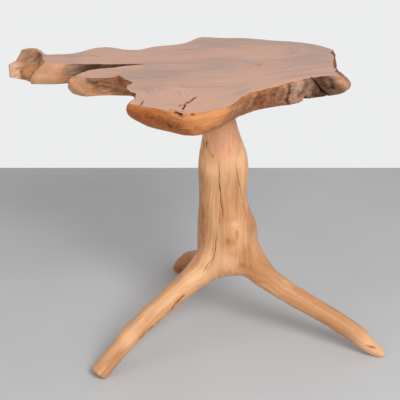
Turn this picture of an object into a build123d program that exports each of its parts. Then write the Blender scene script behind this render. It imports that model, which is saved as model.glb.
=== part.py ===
from build123d import *
import math
import os

# Tripod table: a live-edge slab on a natural three-legged crotch of root wood.
# Millimetres, +Z up. The origin is on the floor, at the middle of the table's outline.
# +X runs along the slab to its burl end, and -Y is the side with the rounded front lip.

os.makedirs("parts", exist_ok=True)

# Overall sizes
table_height = 740
slab_thickness = 55
slab_length = 824
slab_depth = 557

# Tripod base
trunk_width = 122
trunk_bottom_height = 184
hub_x = 64
hub_y = -12
seat_x = 36
seat_y = -36
left_reach = 380
left_leg_angle = 212
right_reach = 404
right_leg_angle = 344
rear_reach = 350
rear_leg_angle = 111.5
crotch_height = 235
leg_diameter = 54

# Steel mounting plate, let into the underside of the slab
plate_diameter = 170
plate_thickness = 6
plate_clearance = 0.5
slot_edge_distance = 18
slot_count = 6
slot_width = 6.6
slot_overall = 13

# Coach screw that draws the plate down onto the trunk
coach_diameter = 12
coach_length = 120
coach_head_width = 19
coach_head_height = 8
coach_washer_diameter = 24
coach_washer_thickness = 2.5
pocket_room = 5
pocket_end_room = 3.5

# Countersunk screws that stop the plate turning on the trunk
trunk_screw_diameter = 6
trunk_screw_length = 70
trunk_screw_head_diameter = 12
trunk_screw_ring_diameter = 42
trunk_screw_count = 3

# Round-headed screws and washers that hold the slab
slab_screw_diameter = 6
slab_screw_length = 38
slab_screw_head_diameter = 12
slab_screw_head_height = 4
slab_washer_diameter = 16
slab_washer_thickness = 1.6

# Drive recesses and points that the wood screws share
recess_width = 1.2
recess_depth = 1.8
countersink_angle = 82
point_share = 1.2
crown_share = 0.75

# Fits
screw_clearance = 0.1
washer_clearance = 0.4
hole_end_clearance = 1.5

# Heights worked out from the sizes above
slab_underside = table_height - slab_thickness
plate_top = slab_underside + plate_thickness

# Live edge of the slab, in runs that meet at its corners, clockwise seen from above.
# Each row holds the top edge and the bottom edge, in shares of the slab's length and
# depth, and how far the wall swells out between them, in shares of the thickness.
rear_edge_share = [
    (-0.541, 0.226, -0.571, 0.189, 0.00),
    (-0.524, 0.248, -0.551, 0.221, 0.05),
    (-0.502, 0.248, -0.515, 0.227, 0.08),
    (-0.474, 0.194, -0.478, 0.180, 0.06),
    (-0.455, 0.152, -0.450, 0.138, 0.06),
    (-0.430, 0.154, -0.426, 0.135, 0.08),
    (-0.381, 0.167, -0.376, 0.147, 0.12),
    (-0.353, 0.203, -0.343, 0.180, 0.12),
    (-0.319, 0.250, -0.313, 0.226, 0.12),
    (-0.273, 0.260, -0.272, 0.237, 0.12),
    (-0.233, 0.230, -0.234, 0.210, 0.10),
    (-0.187, 0.226, -0.185, 0.204, 0.10),
    (-0.143, 0.273, -0.138, 0.250, 0.12),
    (-0.066, 0.312, -0.058, 0.287, 0.12),
    (-0.033, 0.363, -0.024, 0.340, 0.12),
    (0.002, 0.425, 0.007, 0.402, 0.12),
    (0.056, 0.415, 0.055, 0.393, 0.14),
    (0.118, 0.413, 0.116, 0.390, 0.14),
    (0.176, 0.393, 0.171, 0.372, 0.14),
    (0.254, 0.361, 0.247, 0.341, 0.16),
    (0.330, 0.325, 0.322, 0.307, 0.16),
    (0.367, 0.279, 0.359, 0.266, 0.18),
    (0.396, 0.217, 0.390, 0.206, 0.16),
]
right_end_share = [
    (0.396, 0.217, 0.390, 0.206, 0.16),
    (0.386, 0.093, 0.387, 0.088, 0.14),
    (0.382, -0.014, 0.396, 0.000, 0.20),
    (0.379, -0.090, 0.402, -0.057, 0.38),
    (0.376, -0.137, 0.386, -0.098, 0.48),
]
front_edge_share = [
    (0.376, -0.137, 0.386, -0.098, 0.48),
    (0.337, -0.153, 0.345, -0.120, 0.18),
    (0.295, -0.176, 0.301, -0.145, 0.10),
    (0.249, -0.219, 0.255, -0.196, 0.12),
    (0.216, -0.260, 0.213, -0.235, 0.14),
    (0.180, -0.302, 0.170, -0.266, 0.14),
    (0.143, -0.336, 0.133, -0.303, 0.14),
    (0.114, -0.381, 0.102, -0.352, 0.16),
    (0.089, -0.449, 0.070, -0.420, 0.18),
    (0.063, -0.517, 0.036, -0.497, 0.20),
    (0.019, -0.555, 0.002, -0.544, 0.20),
    (-0.027, -0.576, -0.027, -0.555, 0.18),
    (-0.058, -0.571, -0.051, -0.544, 0.16),
    (-0.091, -0.546, -0.078, -0.519, 0.16),
    (-0.119, -0.522, -0.110, -0.492, 0.20),
    (-0.153, -0.503, -0.138, -0.460, 0.24),
    (-0.183, -0.478, -0.160, -0.418, 0.32),
]
lobe_side_share = [
    (-0.183, -0.478, -0.160, -0.418, 0.32),
    (-0.175, -0.431, -0.158, -0.385, 0.34),
    (-0.171, -0.395, -0.150, -0.350, 0.20),
    (-0.184, -0.350, -0.142, -0.318, 0.06),
    (-0.199, -0.305, -0.145, -0.285, 0.00),
]
notch_share = [
    (-0.199, -0.305, -0.145, -0.285, 0.00),
    (-0.196, -0.268, -0.148, -0.240, -0.05),
    (-0.187, -0.232, -0.155, -0.195, -0.08),
    (-0.208, -0.185, -0.175, -0.150, -0.10),
    (-0.227, -0.136, -0.200, -0.115, -0.06),
]
short_arm_front_share = [
    (-0.227, -0.136, -0.200, -0.115, -0.06),
    (-0.252, -0.166, -0.237, -0.107, -0.16),
    (-0.285, -0.172, -0.277, -0.109, -0.16),
    (-0.318, -0.165, -0.318, -0.120, 0.08),
    (-0.339, -0.120, -0.360, -0.092, 0.32),
]
short_arm_rear_share = [
    (-0.339, -0.120, -0.360, -0.092, 0.32),
    (-0.323, -0.086, -0.325, -0.068, 0.12),
    (-0.302, -0.059, -0.298, -0.045, 0.04),
    (-0.266, -0.042, -0.262, -0.026, 0.00),
    (-0.192, 0.000, -0.198, 0.000, 0.00),
    (-0.160, 0.013, -0.166, 0.011, 0.00),
]
long_arm_front_share = [
    (-0.160, 0.013, -0.166, 0.011, 0.00),
    (-0.192, 0.016, -0.196, 0.022, 0.00),
    (-0.250, 0.013, -0.252, 0.030, 0.00),
    (-0.310, 0.011, -0.315, 0.040, 0.04),
    (-0.377, 0.018, -0.388, 0.050, 0.10),
    (-0.424, 0.024, -0.430, 0.036, 0.16),
    (-0.444, 0.056, -0.488, 0.043, 0.14),
]
hollow_share = [
    (-0.444, 0.056, -0.488, 0.043, 0.14),
    (-0.464, 0.102, -0.512, 0.086, -0.10),
    (-0.468, 0.146, -0.532, 0.106, -0.20),
    (-0.484, 0.192, -0.548, 0.118, -0.24),
    (-0.507, 0.233, -0.560, 0.130, -0.20),
    (-0.537, 0.214, -0.569, 0.155, 0.00),
]
rim_tip_share = [
    (-0.537, 0.214, -0.569, 0.155, 0.00),
    (-0.541, 0.226, -0.571, 0.189, 0.00),
]
live_edge_share = [
    rear_edge_share,
    right_end_share,
    front_edge_share,
    lobe_side_share,
    notch_share,
    short_arm_front_share,
    short_arm_rear_share,
    long_arm_front_share,
    hollow_share,
    rim_tip_share,
]

# Levels of the live edge: height in shares of the thickness, way from the bottom edge
# to the top edge, and part of the swelling that shows at that level.
level_share = [
    (0.00, 0.00, 0.00),
    (0.28, 0.20, 0.85),
    (0.58, 0.52, 1.00),
    (0.86, 0.86, 0.50),
    (1.00, 1.00, 0.00),
]


def wall_normals(rows):
    """Outward unit normals of the closed live edge, half-way up the wall."""
    middles = [
        ((row[0] + row[2]) / 2 * slab_length, (row[1] + row[3]) / 2 * slab_depth)
        for row in rows
    ]
    normals = []
    for index in range(len(rows)):
        before = middles[index - 1]
        after = middles[(index + 1) % len(rows)]
        run_x = after[0] - before[0]
        run_y = after[1] - before[1]
        span = math.hypot(run_x, run_y)
        normals.append((-run_y / span, run_x / span))
    return normals


def edge_at_level(level):
    """The runs of the live edge at one level, as lists of points."""
    height_share, way_share, swell_share = level
    loop = [row for run in live_edge_share for row in run[:-1]]
    normals = wall_normals(loop)
    points = []
    for row, normal in zip(loop, normals):
        top_x, top_y, under_x, under_y, swell = row
        swell_out = swell * swell_share * slab_thickness
        along = (under_x + (top_x - under_x) * way_share) * slab_length
        across = (under_y + (top_y - under_y) * way_share) * slab_depth
        points.append((along + normal[0] * swell_out, across + normal[1] * swell_out))
    runs = []
    start = 0
    for run in live_edge_share:
        end = start + len(run) - 1
        runs.append(points[start:end] + [points[end % len(points)]])
        start = end
    return runs


# Sawn block at the far end of the long arm: corners in shares of the slab's length and
# depth, and its height in shares of the thickness
end_block_share = [(-0.570, 0.133), (-0.532, 0.104), (-0.514, 0.180), (-0.552, 0.212)]
end_block_height_share = 0.6

# Trunk, from its rounded belly up to the seat: height in shares of the trunk's height,
# width in shares of the trunk's width, and way from the hub's axis to the seat's axis
trunk_share = [
    (0.000, 0.76, 0.00),
    (0.022, 1.04, 0.00),
    (0.060, 1.18, -0.05),
    (0.134, 1.26, -0.10),
    (0.253, 1.25, -0.08),
    (0.311, 1.20, 0.03),
    (0.383, 1.04, 0.24),
    (0.455, 0.96, 0.34),
    (0.525, 0.98, 0.34),
    (0.593, 1.01, 0.34),
    (0.641, 1.00, 0.36),
    (0.695, 0.93, 0.41),
    (0.746, 0.81, 0.49),
    (0.798, 0.72, 0.60),
    (0.870, 0.615, 0.76),
    (0.940, 0.54, 0.90),
    (1.000, 0.508, 1.00),
]
trunk_depth_share = 0.92

# Each leg from inside the trunk out to its foot: way out from the hub's axis in shares of
# its reach, height in shares of the crotch height, and girth in shares of its diameter
left_leg_share = [
    (0.026, 1.700, 1.37),
    (0.047, 1.400, 1.58),
    (0.087, 1.140, 1.60),
    (0.160, 0.950, 1.46),
    (0.270, 0.825, 1.24),
    (0.395, 0.720, 1.11),
    (0.513, 0.612, 1.05),
    (0.632, 0.498, 1.02),
    (0.750, 0.370, 0.97),
    (0.868, 0.212, 0.90),
    (0.995, 0.032, 0.84),
]
right_leg_share = [
    (0.025, 1.700, 1.37),
    (0.045, 1.420, 1.62),
    (0.090, 1.170, 1.70),
    (0.160, 0.985, 1.52),
    (0.255, 0.812, 1.25),
    (0.378, 0.668, 1.06),
    (0.530, 0.540, 0.98),
    (0.680, 0.413, 0.96),
    (0.836, 0.268, 0.93),
    (0.965, 0.105, 0.74),
    (1.020, 0.040, 0.50),
    (1.046, 0.012, 0.26),
]
rear_leg_share = [
    (0.028, 1.700, 1.37),
    (0.050, 1.400, 1.58),
    (0.097, 1.140, 1.58),
    (0.180, 0.965, 1.40),
    (0.306, 0.840, 1.16),
    (0.443, 0.700, 1.04),
    (0.580, 0.549, 0.98),
    (0.717, 0.386, 0.94),
    (0.854, 0.215, 0.90),
    (0.991, 0.035, 0.86),
]
leg_flatness_share = 0.94
legs = [
    (left_reach, left_leg_angle, left_leg_share),
    (right_reach, right_leg_angle, right_leg_share),
    (rear_reach, rear_leg_angle, rear_leg_share),
]


def leg_stations(reach, turn, rows):
    """Points and girths along a leg, from inside the trunk out to its foot."""
    out_x = math.cos(math.radians(turn))
    out_y = math.sin(math.radians(turn))
    stations = []
    for way_share, height_share, girth_share in rows:
        way = way_share * reach
        height = height_share * crotch_height
        point = Vector(hub_x + way * out_x, hub_y + way * out_y, height)
        stations.append((point, girth_share * leg_diameter))
    return stations


# Slab: live edge, recess for the plate, pocket for the coach screw, pilot holes
slot_circle_radius = plate_diameter / 2 - slot_edge_distance
slab_screw_tip = slab_underside - slab_washer_thickness + slab_screw_length
pocket_diameter = coach_washer_diameter + 2 * pocket_room
pocket_depth = coach_washer_thickness + coach_head_height + pocket_end_room

with BuildPart() as slab_top:
    for level in level_share:
        level_height = slab_underside + level[0] * slab_thickness
        with BuildSketch(Plane.XY.offset(level_height)):
            with BuildLine():
                for run in edge_at_level(level):
                    if len(run) > 2:
                        Spline(*run)
                    else:
                        Line(*run)
            make_face()
    loft()
    with BuildSketch(Plane.XY.offset(slab_underside)):
        with BuildLine():
            corners = [(x * slab_length, y * slab_depth) for x, y in end_block_share]
            Polyline(*corners, close=True)
        make_face()
    extrude(amount=end_block_height_share * slab_thickness)
    with BuildSketch(Plane.XY.offset(slab_underside)):
        with Locations((seat_x, seat_y)):
            Circle(plate_diameter / 2 + plate_clearance)
    extrude(amount=plate_thickness, mode=Mode.SUBTRACT)
    with BuildSketch(Plane.XY.offset(plate_top)):
        with Locations((seat_x, seat_y)):
            Circle(pocket_diameter / 2)
    extrude(amount=pocket_depth, mode=Mode.SUBTRACT)
    with BuildSketch(Plane.XY.offset(plate_top)):
        with Locations((seat_x, seat_y)):
            with PolarLocations(slot_circle_radius, slot_count):
                Circle(slab_screw_diameter / 2 + screw_clearance)
    extrude(amount=slab_screw_tip + hole_end_clearance - plate_top, mode=Mode.SUBTRACT)

slab_top.part.label = "slab_top"
export_step(slab_top.part, "parts/slab_top.step")


# Tripod base: trunk and three legs, one natural crotch of root wood
trunk_height = slab_underside - trunk_bottom_height
coach_tip = plate_top + coach_washer_thickness - coach_length
trunk_screw_tip = plate_top - trunk_screw_length

with BuildPart() as tripod_base:
    for height_share, width_share, lean_share in trunk_share:
        centre_x = hub_x + (seat_x - hub_x) * lean_share
        centre_y = hub_y + (seat_y - hub_y) * lean_share
        half_width = width_share * trunk_width / 2
        section_height = trunk_bottom_height + height_share * trunk_height
        with BuildSketch(Plane((centre_x, centre_y, section_height))):
            Ellipse(half_width, half_width * trunk_depth_share)
    loft()
    for reach, turn, rows in legs:
        stations = leg_stations(reach, turn, rows)
        sideways = (-math.sin(math.radians(turn)), math.cos(math.radians(turn)), 0)
        sections = []
        for index, (point, girth) in enumerate(stations):
            before = stations[max(index - 1, 0)][0]
            after = stations[min(index + 1, len(stations) - 1)][0]
            across_leg = Plane(origin=point, x_dir=sideways, z_dir=after - before)
            with BuildSketch(across_leg) as section:
                Ellipse(girth / 2, girth / 2 * leg_flatness_share)
            sections.append(section.sketch)
        loft(sections)
    split(bisect_by=Plane.XY, keep=Keep.TOP)
    with Locations((seat_x, seat_y, slab_underside)):
        coach_hole_radius = coach_diameter / 2 + screw_clearance
        Hole(coach_hole_radius, depth=slab_underside - coach_tip + hole_end_clearance)
        with PolarLocations(trunk_screw_ring_diameter / 2, trunk_screw_count):
            screw_hole_radius = trunk_screw_diameter / 2 + screw_clearance
            Hole(screw_hole_radius, depth=slab_underside - trunk_screw_tip + hole_end_clearance)

tripod_base.part.label = "tripod_base"
export_step(tripod_base.part, "parts/tripod_base.step")


# Steel mounting plate, with its slots running across the slab's grain
with BuildPart() as mounting_plate:
    with BuildSketch(Plane.XY.offset(slab_underside)):
        with Locations((seat_x, seat_y)):
            Circle(plate_diameter / 2)
            Circle(coach_diameter / 2 + washer_clearance, mode=Mode.SUBTRACT)
            with PolarLocations(slot_circle_radius, slot_count, rotate=False):
                SlotOverall(slot_overall, slot_width, rotation=90, mode=Mode.SUBTRACT)
    extrude(amount=plate_thickness)
    with Locations((seat_x, seat_y, plate_top)):
        with PolarLocations(trunk_screw_ring_diameter / 2, trunk_screw_count):
            CounterSinkHole(
                trunk_screw_diameter / 2 + screw_clearance,
                trunk_screw_head_diameter / 2 + screw_clearance,
                counter_sink_angle=countersink_angle,
            )

mounting_plate.part.label = "mounting_plate"
export_step(mounting_plate.part, "parts/mounting_plate.step")


# Washer under the coach screw's head
with BuildPart() as coach_washer:
    with BuildSketch(Plane.XY.offset(plate_top)):
        with Locations((seat_x, seat_y)):
            Circle(coach_washer_diameter / 2)
            Circle(coach_diameter / 2 + washer_clearance, mode=Mode.SUBTRACT)
    extrude(amount=coach_washer_thickness)

coach_washer.part.label = "coach_washer"
export_step(coach_washer.part, "parts/coach_washer.step")


# Coach screw: hexagon head, shank and pointed end
coach_seat = plate_top + coach_washer_thickness
coach_point = coach_diameter * point_share

with BuildPart() as coach_blank:
    with BuildSketch():
        RegularPolygon(coach_head_width / 2, side_count=6, major_radius=False)
    extrude(amount=coach_head_height)
    with BuildSketch(Plane.XZ):
        with BuildLine():
            Polyline(
                (0, 0),
                (coach_diameter / 2, 0),
                (coach_diameter / 2, coach_point - coach_length),
                (0, -coach_length),
                close=True,
            )
        make_face()
    revolve(axis=Axis.Z)

with BuildPart() as coach_screw:
    with Locations((seat_x, seat_y, coach_seat)):
        add(coach_blank.part)

coach_screw.part.label = "coach_screw"
export_step(coach_screw.part, "parts/coach_screw.step")


# Screws that stop the plate turning: countersunk, flush with the plate, cross recess
trunk_screw_radius = trunk_screw_diameter / 2
trunk_screw_head_radius = trunk_screw_head_diameter / 2
trunk_screw_head_depth = (
    (trunk_screw_head_radius - trunk_screw_radius) / math.tan(math.radians(countersink_angle / 2))
)
trunk_screw_point = trunk_screw_diameter * point_share

with BuildPart() as trunk_screw:
    with BuildSketch(Plane.XZ):
        with BuildLine():
            Polyline(
                (0, 0),
                (trunk_screw_head_radius, 0),
                (trunk_screw_radius, -trunk_screw_head_depth),
                (trunk_screw_radius, trunk_screw_point - trunk_screw_length),
                (0, -trunk_screw_length),
                close=True,
            )
        make_face()
    revolve(axis=Axis.Z)
    with BuildSketch():
        Rectangle(trunk_screw_radius * 2, recess_width)
        Rectangle(recess_width, trunk_screw_radius * 2)
    extrude(amount=-recess_depth, mode=Mode.SUBTRACT)

with BuildPart() as trunk_screws:
    with Locations((seat_x, seat_y, plate_top)):
        with PolarLocations(trunk_screw_ring_diameter / 2, trunk_screw_count):
            add(trunk_screw.part)

trunk_screws.part.label = "trunk_screws"
export_step(trunk_screws.part, "parts/trunk_screws.step")


# Screws that hold the slab, driven up through the plate's slots: round heads
slab_screw_seat = slab_underside - slab_washer_thickness
slab_screw_radius = slab_screw_diameter / 2
slab_screw_head_radius = slab_screw_head_diameter / 2
slab_screw_point = slab_screw_diameter * point_share
head_crown = (slab_screw_head_radius * crown_share, -slab_screw_head_height * crown_share)

with BuildPart() as slab_screw:
    with BuildSketch(Plane.XZ):
        with BuildLine():
            ThreePointArc((0, -slab_screw_head_height), head_crown, (slab_screw_head_radius, 0))
            Polyline(
                (slab_screw_head_radius, 0),
                (slab_screw_radius, 0),
                (slab_screw_radius, slab_screw_length - slab_screw_point),
                (0, slab_screw_length),
                (0, -slab_screw_head_height),
            )
        make_face()
    revolve(axis=Axis.Z)
    with BuildSketch(Plane.XY.offset(-slab_screw_head_height)):
        Rectangle(slab_screw_radius * 2, recess_width)
        Rectangle(recess_width, slab_screw_radius * 2)
    extrude(amount=recess_depth, mode=Mode.SUBTRACT)

with BuildPart() as slab_screws:
    with Locations((seat_x, seat_y, slab_screw_seat)):
        with PolarLocations(slot_circle_radius, slot_count):
            add(slab_screw.part)

slab_screws.part.label = "slab_screws"
export_step(slab_screws.part, "parts/slab_screws.step")


# Washers under those screws, which bridge the slots
with BuildPart() as slab_washers:
    with BuildSketch(Plane.XY.offset(slab_screw_seat)):
        with Locations((seat_x, seat_y)):
            with PolarLocations(slot_circle_radius, slot_count):
                Circle(slab_washer_diameter / 2)
                Circle(slab_screw_radius + washer_clearance, mode=Mode.SUBTRACT)
    extrude(amount=slab_washer_thickness)

slab_washers.part.label = "slab_washers"
export_step(slab_washers.part, "parts/slab_washers.step")
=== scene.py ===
"""Dresses the tripod table: a live-edge slab of root wood on a natural three-legged stem."""
import math

import bmesh
import bpy
import numpy as np
from bpy.props import FloatProperty, FloatVectorProperty, IntProperty, PointerProperty
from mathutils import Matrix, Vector, geometry, kdtree
from mathutils.bvhtree import BVHTree


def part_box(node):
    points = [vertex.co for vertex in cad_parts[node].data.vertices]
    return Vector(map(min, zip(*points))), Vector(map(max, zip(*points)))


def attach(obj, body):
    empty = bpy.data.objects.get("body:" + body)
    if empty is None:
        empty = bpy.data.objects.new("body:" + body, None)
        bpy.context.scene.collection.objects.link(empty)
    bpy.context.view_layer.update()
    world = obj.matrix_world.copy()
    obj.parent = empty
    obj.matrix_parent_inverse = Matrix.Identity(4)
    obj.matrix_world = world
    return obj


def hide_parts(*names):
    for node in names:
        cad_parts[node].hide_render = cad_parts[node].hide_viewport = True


bl_info = {
    "name": "Tripod Table",
    "version": (1, 0, 0),
    "blender": (4, 5, 0),
    "location": "View3D > Sidebar > Table",
    "description": "Makes the slab, the stem, the fixing and the stage of a tripod table",
    "category": "Object",
}

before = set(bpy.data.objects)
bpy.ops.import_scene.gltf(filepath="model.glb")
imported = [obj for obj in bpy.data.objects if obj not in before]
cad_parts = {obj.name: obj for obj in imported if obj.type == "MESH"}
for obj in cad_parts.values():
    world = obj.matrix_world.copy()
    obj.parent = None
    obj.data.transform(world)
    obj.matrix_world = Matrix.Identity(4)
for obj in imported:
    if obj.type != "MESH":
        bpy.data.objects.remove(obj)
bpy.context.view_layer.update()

MM = 0.001
SLAB_LOW, SLAB_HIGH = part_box("slab_top")
_, BASE_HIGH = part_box("tripod_base")
PLATE_LOW, PLATE_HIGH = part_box("mounting_plate")
SCREW_LOW, SCREW_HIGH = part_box("slab_screws")
WASHER_LOW, WASHER_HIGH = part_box("slab_washers")
SEAT = (PLATE_LOW + PLATE_HIGH) / 2
SLAB_THICKNESS = SLAB_HIGH.z - SLAB_LOW.z
STEM_TOP = BASE_HIGH.z

# Length and depth of the slab that the shares below are taken of.
SLAB_LENGTH = 0.824
SLAB_DEPTH = 0.557

# Rows of points up the wall, steps that measure the length of a run, and sides of the recess.
WALL_ROWS = 30
TRACE_STEPS = 400
RECESS_SIDES = 96

# How far the inner points of the top and underside keep from the rim, the relief that shows
# as full texture, and the mark whose dent shows full painted shade and whose ridge shows full
# wear and painted highlight.
RIM_CLEARANCE = 2 * MM
FULL_TEXTURE = 2 * MM
FULL_MARK = 4 * MM

# The plate's recess: play round the plate, and the pocket for the coach screw's head.
PLATE_PLAY = 0.5 * MM
POCKET_RADIUS = 17 * MM
POCKET_DEPTH = 14 * MM

# Fine points along the cracks of the top: spacing along a crack, rows across it in shares of
# its half-width, and how far the plain net keeps from it.
CRACK_SPACING = 1.1 * MM
CRACK_ROWS = (-2.6, -1.6, -0.9, -0.4, 0, 0.4, 0.9, 1.6, 2.6)
CRACK_CLEARANCE = 5 * MM

# Where the stem's screw holes are: above this height and within this reach of the seat.
HOLE_FLOOR = 0.560
HOLE_REACH = 26 * MM

# Cracks of the stem: spacing of their points, how far they wander from the plain line, and
# how far on each side the skin is split, the second time more closely.
SNAP_SPACING = 6 * MM
CRACK_WANDER = 0.0018
FINE_MARGINS = (5 * MM, 2.6 * MM)

# Lamps: place, the point that they look at, and size.
KEY_LIGHT = ((1.1, -2.2, 2.3), (0.0, 0.0, 0.45), 1.3)
FILL_LIGHT = ((-2.0, -1.4, 1.6), (0.0, 0.0, 0.4), 1.6)

# Outline of a slab screw's crown, in shares of the head's radius and height, the play round
# its shank in the washer, and the seed that turns each screw and washer of the ring.
SCREW_CROWN = [(0.15, 1), (0.45, 0.97), (0.72, 0.80), (0.90, 0.52), (0.98, 0.22)]
WASHER_PLAY = 0.4 * MM
RING_SEED = 7


def divided(table, parts):
    """The table with each of its numbers divided by parts."""
    if isinstance(table, (list, tuple)):
        return type(table)(divided(item, parts) for item in table)
    return table / parts


def metres(table):
    """A table of tenths of a millimetre, in metres."""
    return divided(table, 10000)


# Live edge of the slab, clockwise from above, in runs that meet at its corners, all in
# thousandths. The first list of a run holds the top edge and the bottom edge, in shares of
# the slab's length and depth, and how far the wall swells out between them, in shares of the
# thickness. A run ends where the next one starts. The second list holds the finish of the
# wall: share of the run, then how rough, burled, orange and glossy (lip), dark and pale the
# wood is there. Dark stands for dark wood and for painted shade in hollows and under
# overhangs; pale stands for pale wood and for painted highlight on noses and the dome.
LIVE_EDGE = divided([
    # Rear edge, from the long arm's tip to the right end
    ([
        (-541, 226, -571, 189, 0), (-524, 248, -551, 221, 50), (-502, 248, -515, 227, 80),
        (-474, 194, -478, 180, 60), (-455, 152, -450, 138, 60), (-430, 154, -426, 135, 80),
        (-381, 167, -376, 147, 120), (-353, 203, -343, 180, 120), (-319, 250, -313, 226, 120),
        (-273, 260, -272, 237, 120), (-233, 230, -234, 210, 100), (-187, 226, -185, 204, 100),
        (-143, 273, -138, 250, 120), (-66, 312, -58, 287, 120), (-33, 363, -24, 340, 120),
        (2, 425, 7, 402, 120), (56, 415, 55, 393, 140), (118, 413, 116, 390, 140),
        (176, 393, 171, 372, 140), (254, 361, 247, 341, 160), (330, 325, 322, 307, 160),
        (367, 279, 359, 266, 180),
    ], [
        (0, 500, 0, 0, 250, 600), (200, 500, 100, 300, 200, 300), (500, 600, 100, 600, 150, 100),
        (800, 600, 400, 400, 200, 100), (1000, 800, 500, 100, 550, 100),
    ]),
    # Right end
    ([
        (396, 217, 390, 206, 160), (386, 93, 387, 88, 140), (382, -14, 391, 2, 160),
        (379, -90, 402, -57, 380),
    ], [
        (0, 800, 500, 100, 550, 100), (600, 900, 500, 0, 600, 200), (900, 400, 300, 0, 300, 600),
        (1000, 300, 200, 0, 50, 1000),
    ]),
    # Front edge, from the burl to the lip
    ([
        (376, -137, 386, -98, 480), (337, -153, 345, -120, 180), (295, -176, 301, -145, 100),
        (249, -219, 255, -196, 120), (216, -260, 213, -235, 140), (180, -302, 170, -266, 140),
        (143, -336, 133, -303, 140), (114, -381, 102, -352, 160), (89, -449, 70, -420, 180),
        (63, -517, 36, -497, 200), (19, -555, 2, -544, 200), (-27, -576, -27, -555, 180),
        (-58, -571, -51, -544, 160), (-91, -546, -78, -519, 160), (-119, -522, -110, -492, 200),
        (-153, -503, -138, -460, 240),
    ], [
        (0, 300, 200, 0, 50, 1000), (40, 600, 300, 0, 450, 300), (70, 1000, 200, 0, 900, 0),
        (120, 1000, 300, 0, 950, 0), (150, 700, 1000, 0, 200, 200), (250, 600, 1000, 0, 80, 350),
        (290, 800, 300, 0, 220, 0), (400, 800, 100, 100, 220, 0), (500, 600, 0, 150, 150, 200),
        (575, 400, 0, 350, 80, 100), (625, 100, 0, 1000, 0, 100), (780, 300, 0, 1000, 100, 0),
        (900, 300, 0, 1000, 250, 0), (1000, 200, 0, 900, 200, 0),
    ]),
    # Side of the lobe
    ([
        (-183, -478, -160, -418, 320), (-175, -431, -158, -385, 340), (-171, -395, -150, -350, 200),
        (-184, -350, -142, -318, 60),
    ], [
        (0, 200, 0, 900, 200, 0), (500, 300, 0, 800, 350, 0), (1000, 700, 0, 200, 600, 0),
    ]),
    # Notch
    ([
        (-199, -305, -145, -285, 0), (-196, -268, -148, -240, -50), (-187, -232, -155, -195, -80),
        (-208, -185, -175, -150, -100),
    ], [
        (0, 800, 0, 600, 300, 100), (500, 1000, 100, 600, 50, 300), (1000, 800, 100, 500, 100, 500),
    ]),
    # Short arm, front
    ([
        (-227, -136, -200, -115, -60), (-252, -166, -237, -107, -160), (-285, -172, -277, -109, -160),
        (-318, -165, -318, -120, 80),
    ], [
        (0, 800, 100, 400, 220, 300), (350, 900, 100, 450, 20, 500), (700, 150, 0, 300, 50, 1000),
        (1000, 50, 0, 300, 0, 1000),
    ]),
    # Short arm, rear
    ([
        (-339, -120, -360, -92, 320), (-323, -86, -325, -68, 120), (-302, -59, -298, -45, 40),
        (-266, -42, -262, -26, 0), (-192, 0, -198, 0, 0),
    ], [
        (0, 200, 0, 300, 100, 900), (300, 500, 0, 100, 400, 500), (550, 1000, 200, 0, 750, 0),
        (1000, 1000, 0, 0, 850, 0),
    ]),
    # Long arm, front
    ([
        (-160, 13, -166, 11, 0), (-192, 16, -196, 22, 0), (-250, 13, -252, 30, 0),
        (-310, 11, -315, 40, 40), (-377, 18, -388, 50, 100), (-424, 24, -430, 36, 160),
    ], [
        (0, 1000, 0, 0, 950, 0), (300, 1000, 400, 0, 800, 0), (450, 1000, 300, 0, 950, 0),
        (600, 900, 100, 0, 700, 100), (680, 700, 0, 100, 150, 300), (800, 100, 0, 200, 0, 1000),
        (1000, 200, 0, 100, 50, 900),
    ]),
    # Hollow over the sawn block
    ([
        (-444, 56, -494, 40, 140), (-464, 102, -512, 86, -100), (-468, 146, -532, 106, -200),
        (-484, 192, -548, 118, -240), (-507, 233, -560, 130, -200),
    ], [
        (0, 300, 0, 100, 200, 600), (300, 900, 0, 400, 180, 400), (700, 900, 0, 400, 150, 400),
        (1000, 100, 0, 100, 200, 600),
    ]),
    # Long arm's tip
    ([
        (-537, 214, -569, 155, 0),
    ], [
        (0, 100, 0, 100, 200, 600), (1000, 200, 0, 0, 250, 600),
    ]),
], 1000)
FINISHES = ("rough", "burl", "lip", "dark", "pale")

# Levels of the wall: height in shares of the thickness, way from the bottom edge to the
# top edge, and part of the swelling that shows there.
LEVELS = [(0, 0, 0), (0.28, 0.20, 0.85), (0.58, 0.52, 1), (0.86, 0.86, 0.50), (1, 1, 0)]

# Sawn block under the hollow: the two ends of its sawn face in shares of the slab's length
# and depth, and its height in shares of the thickness. From the given run on, the wall is
# blended into it along the given length. Its eye is a dark spot with a radius.
BLOCK_FACE = [(-0.570, 0.133), (-0.532, 0.104)]
BLOCK_HEIGHT = 0.6
BLOCK_RUN = 7
BLOCK_BLEND = 0.045
BLOCK_EYE = (-0.4495, 0.0636, 0.7105, 0.0030)

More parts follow.
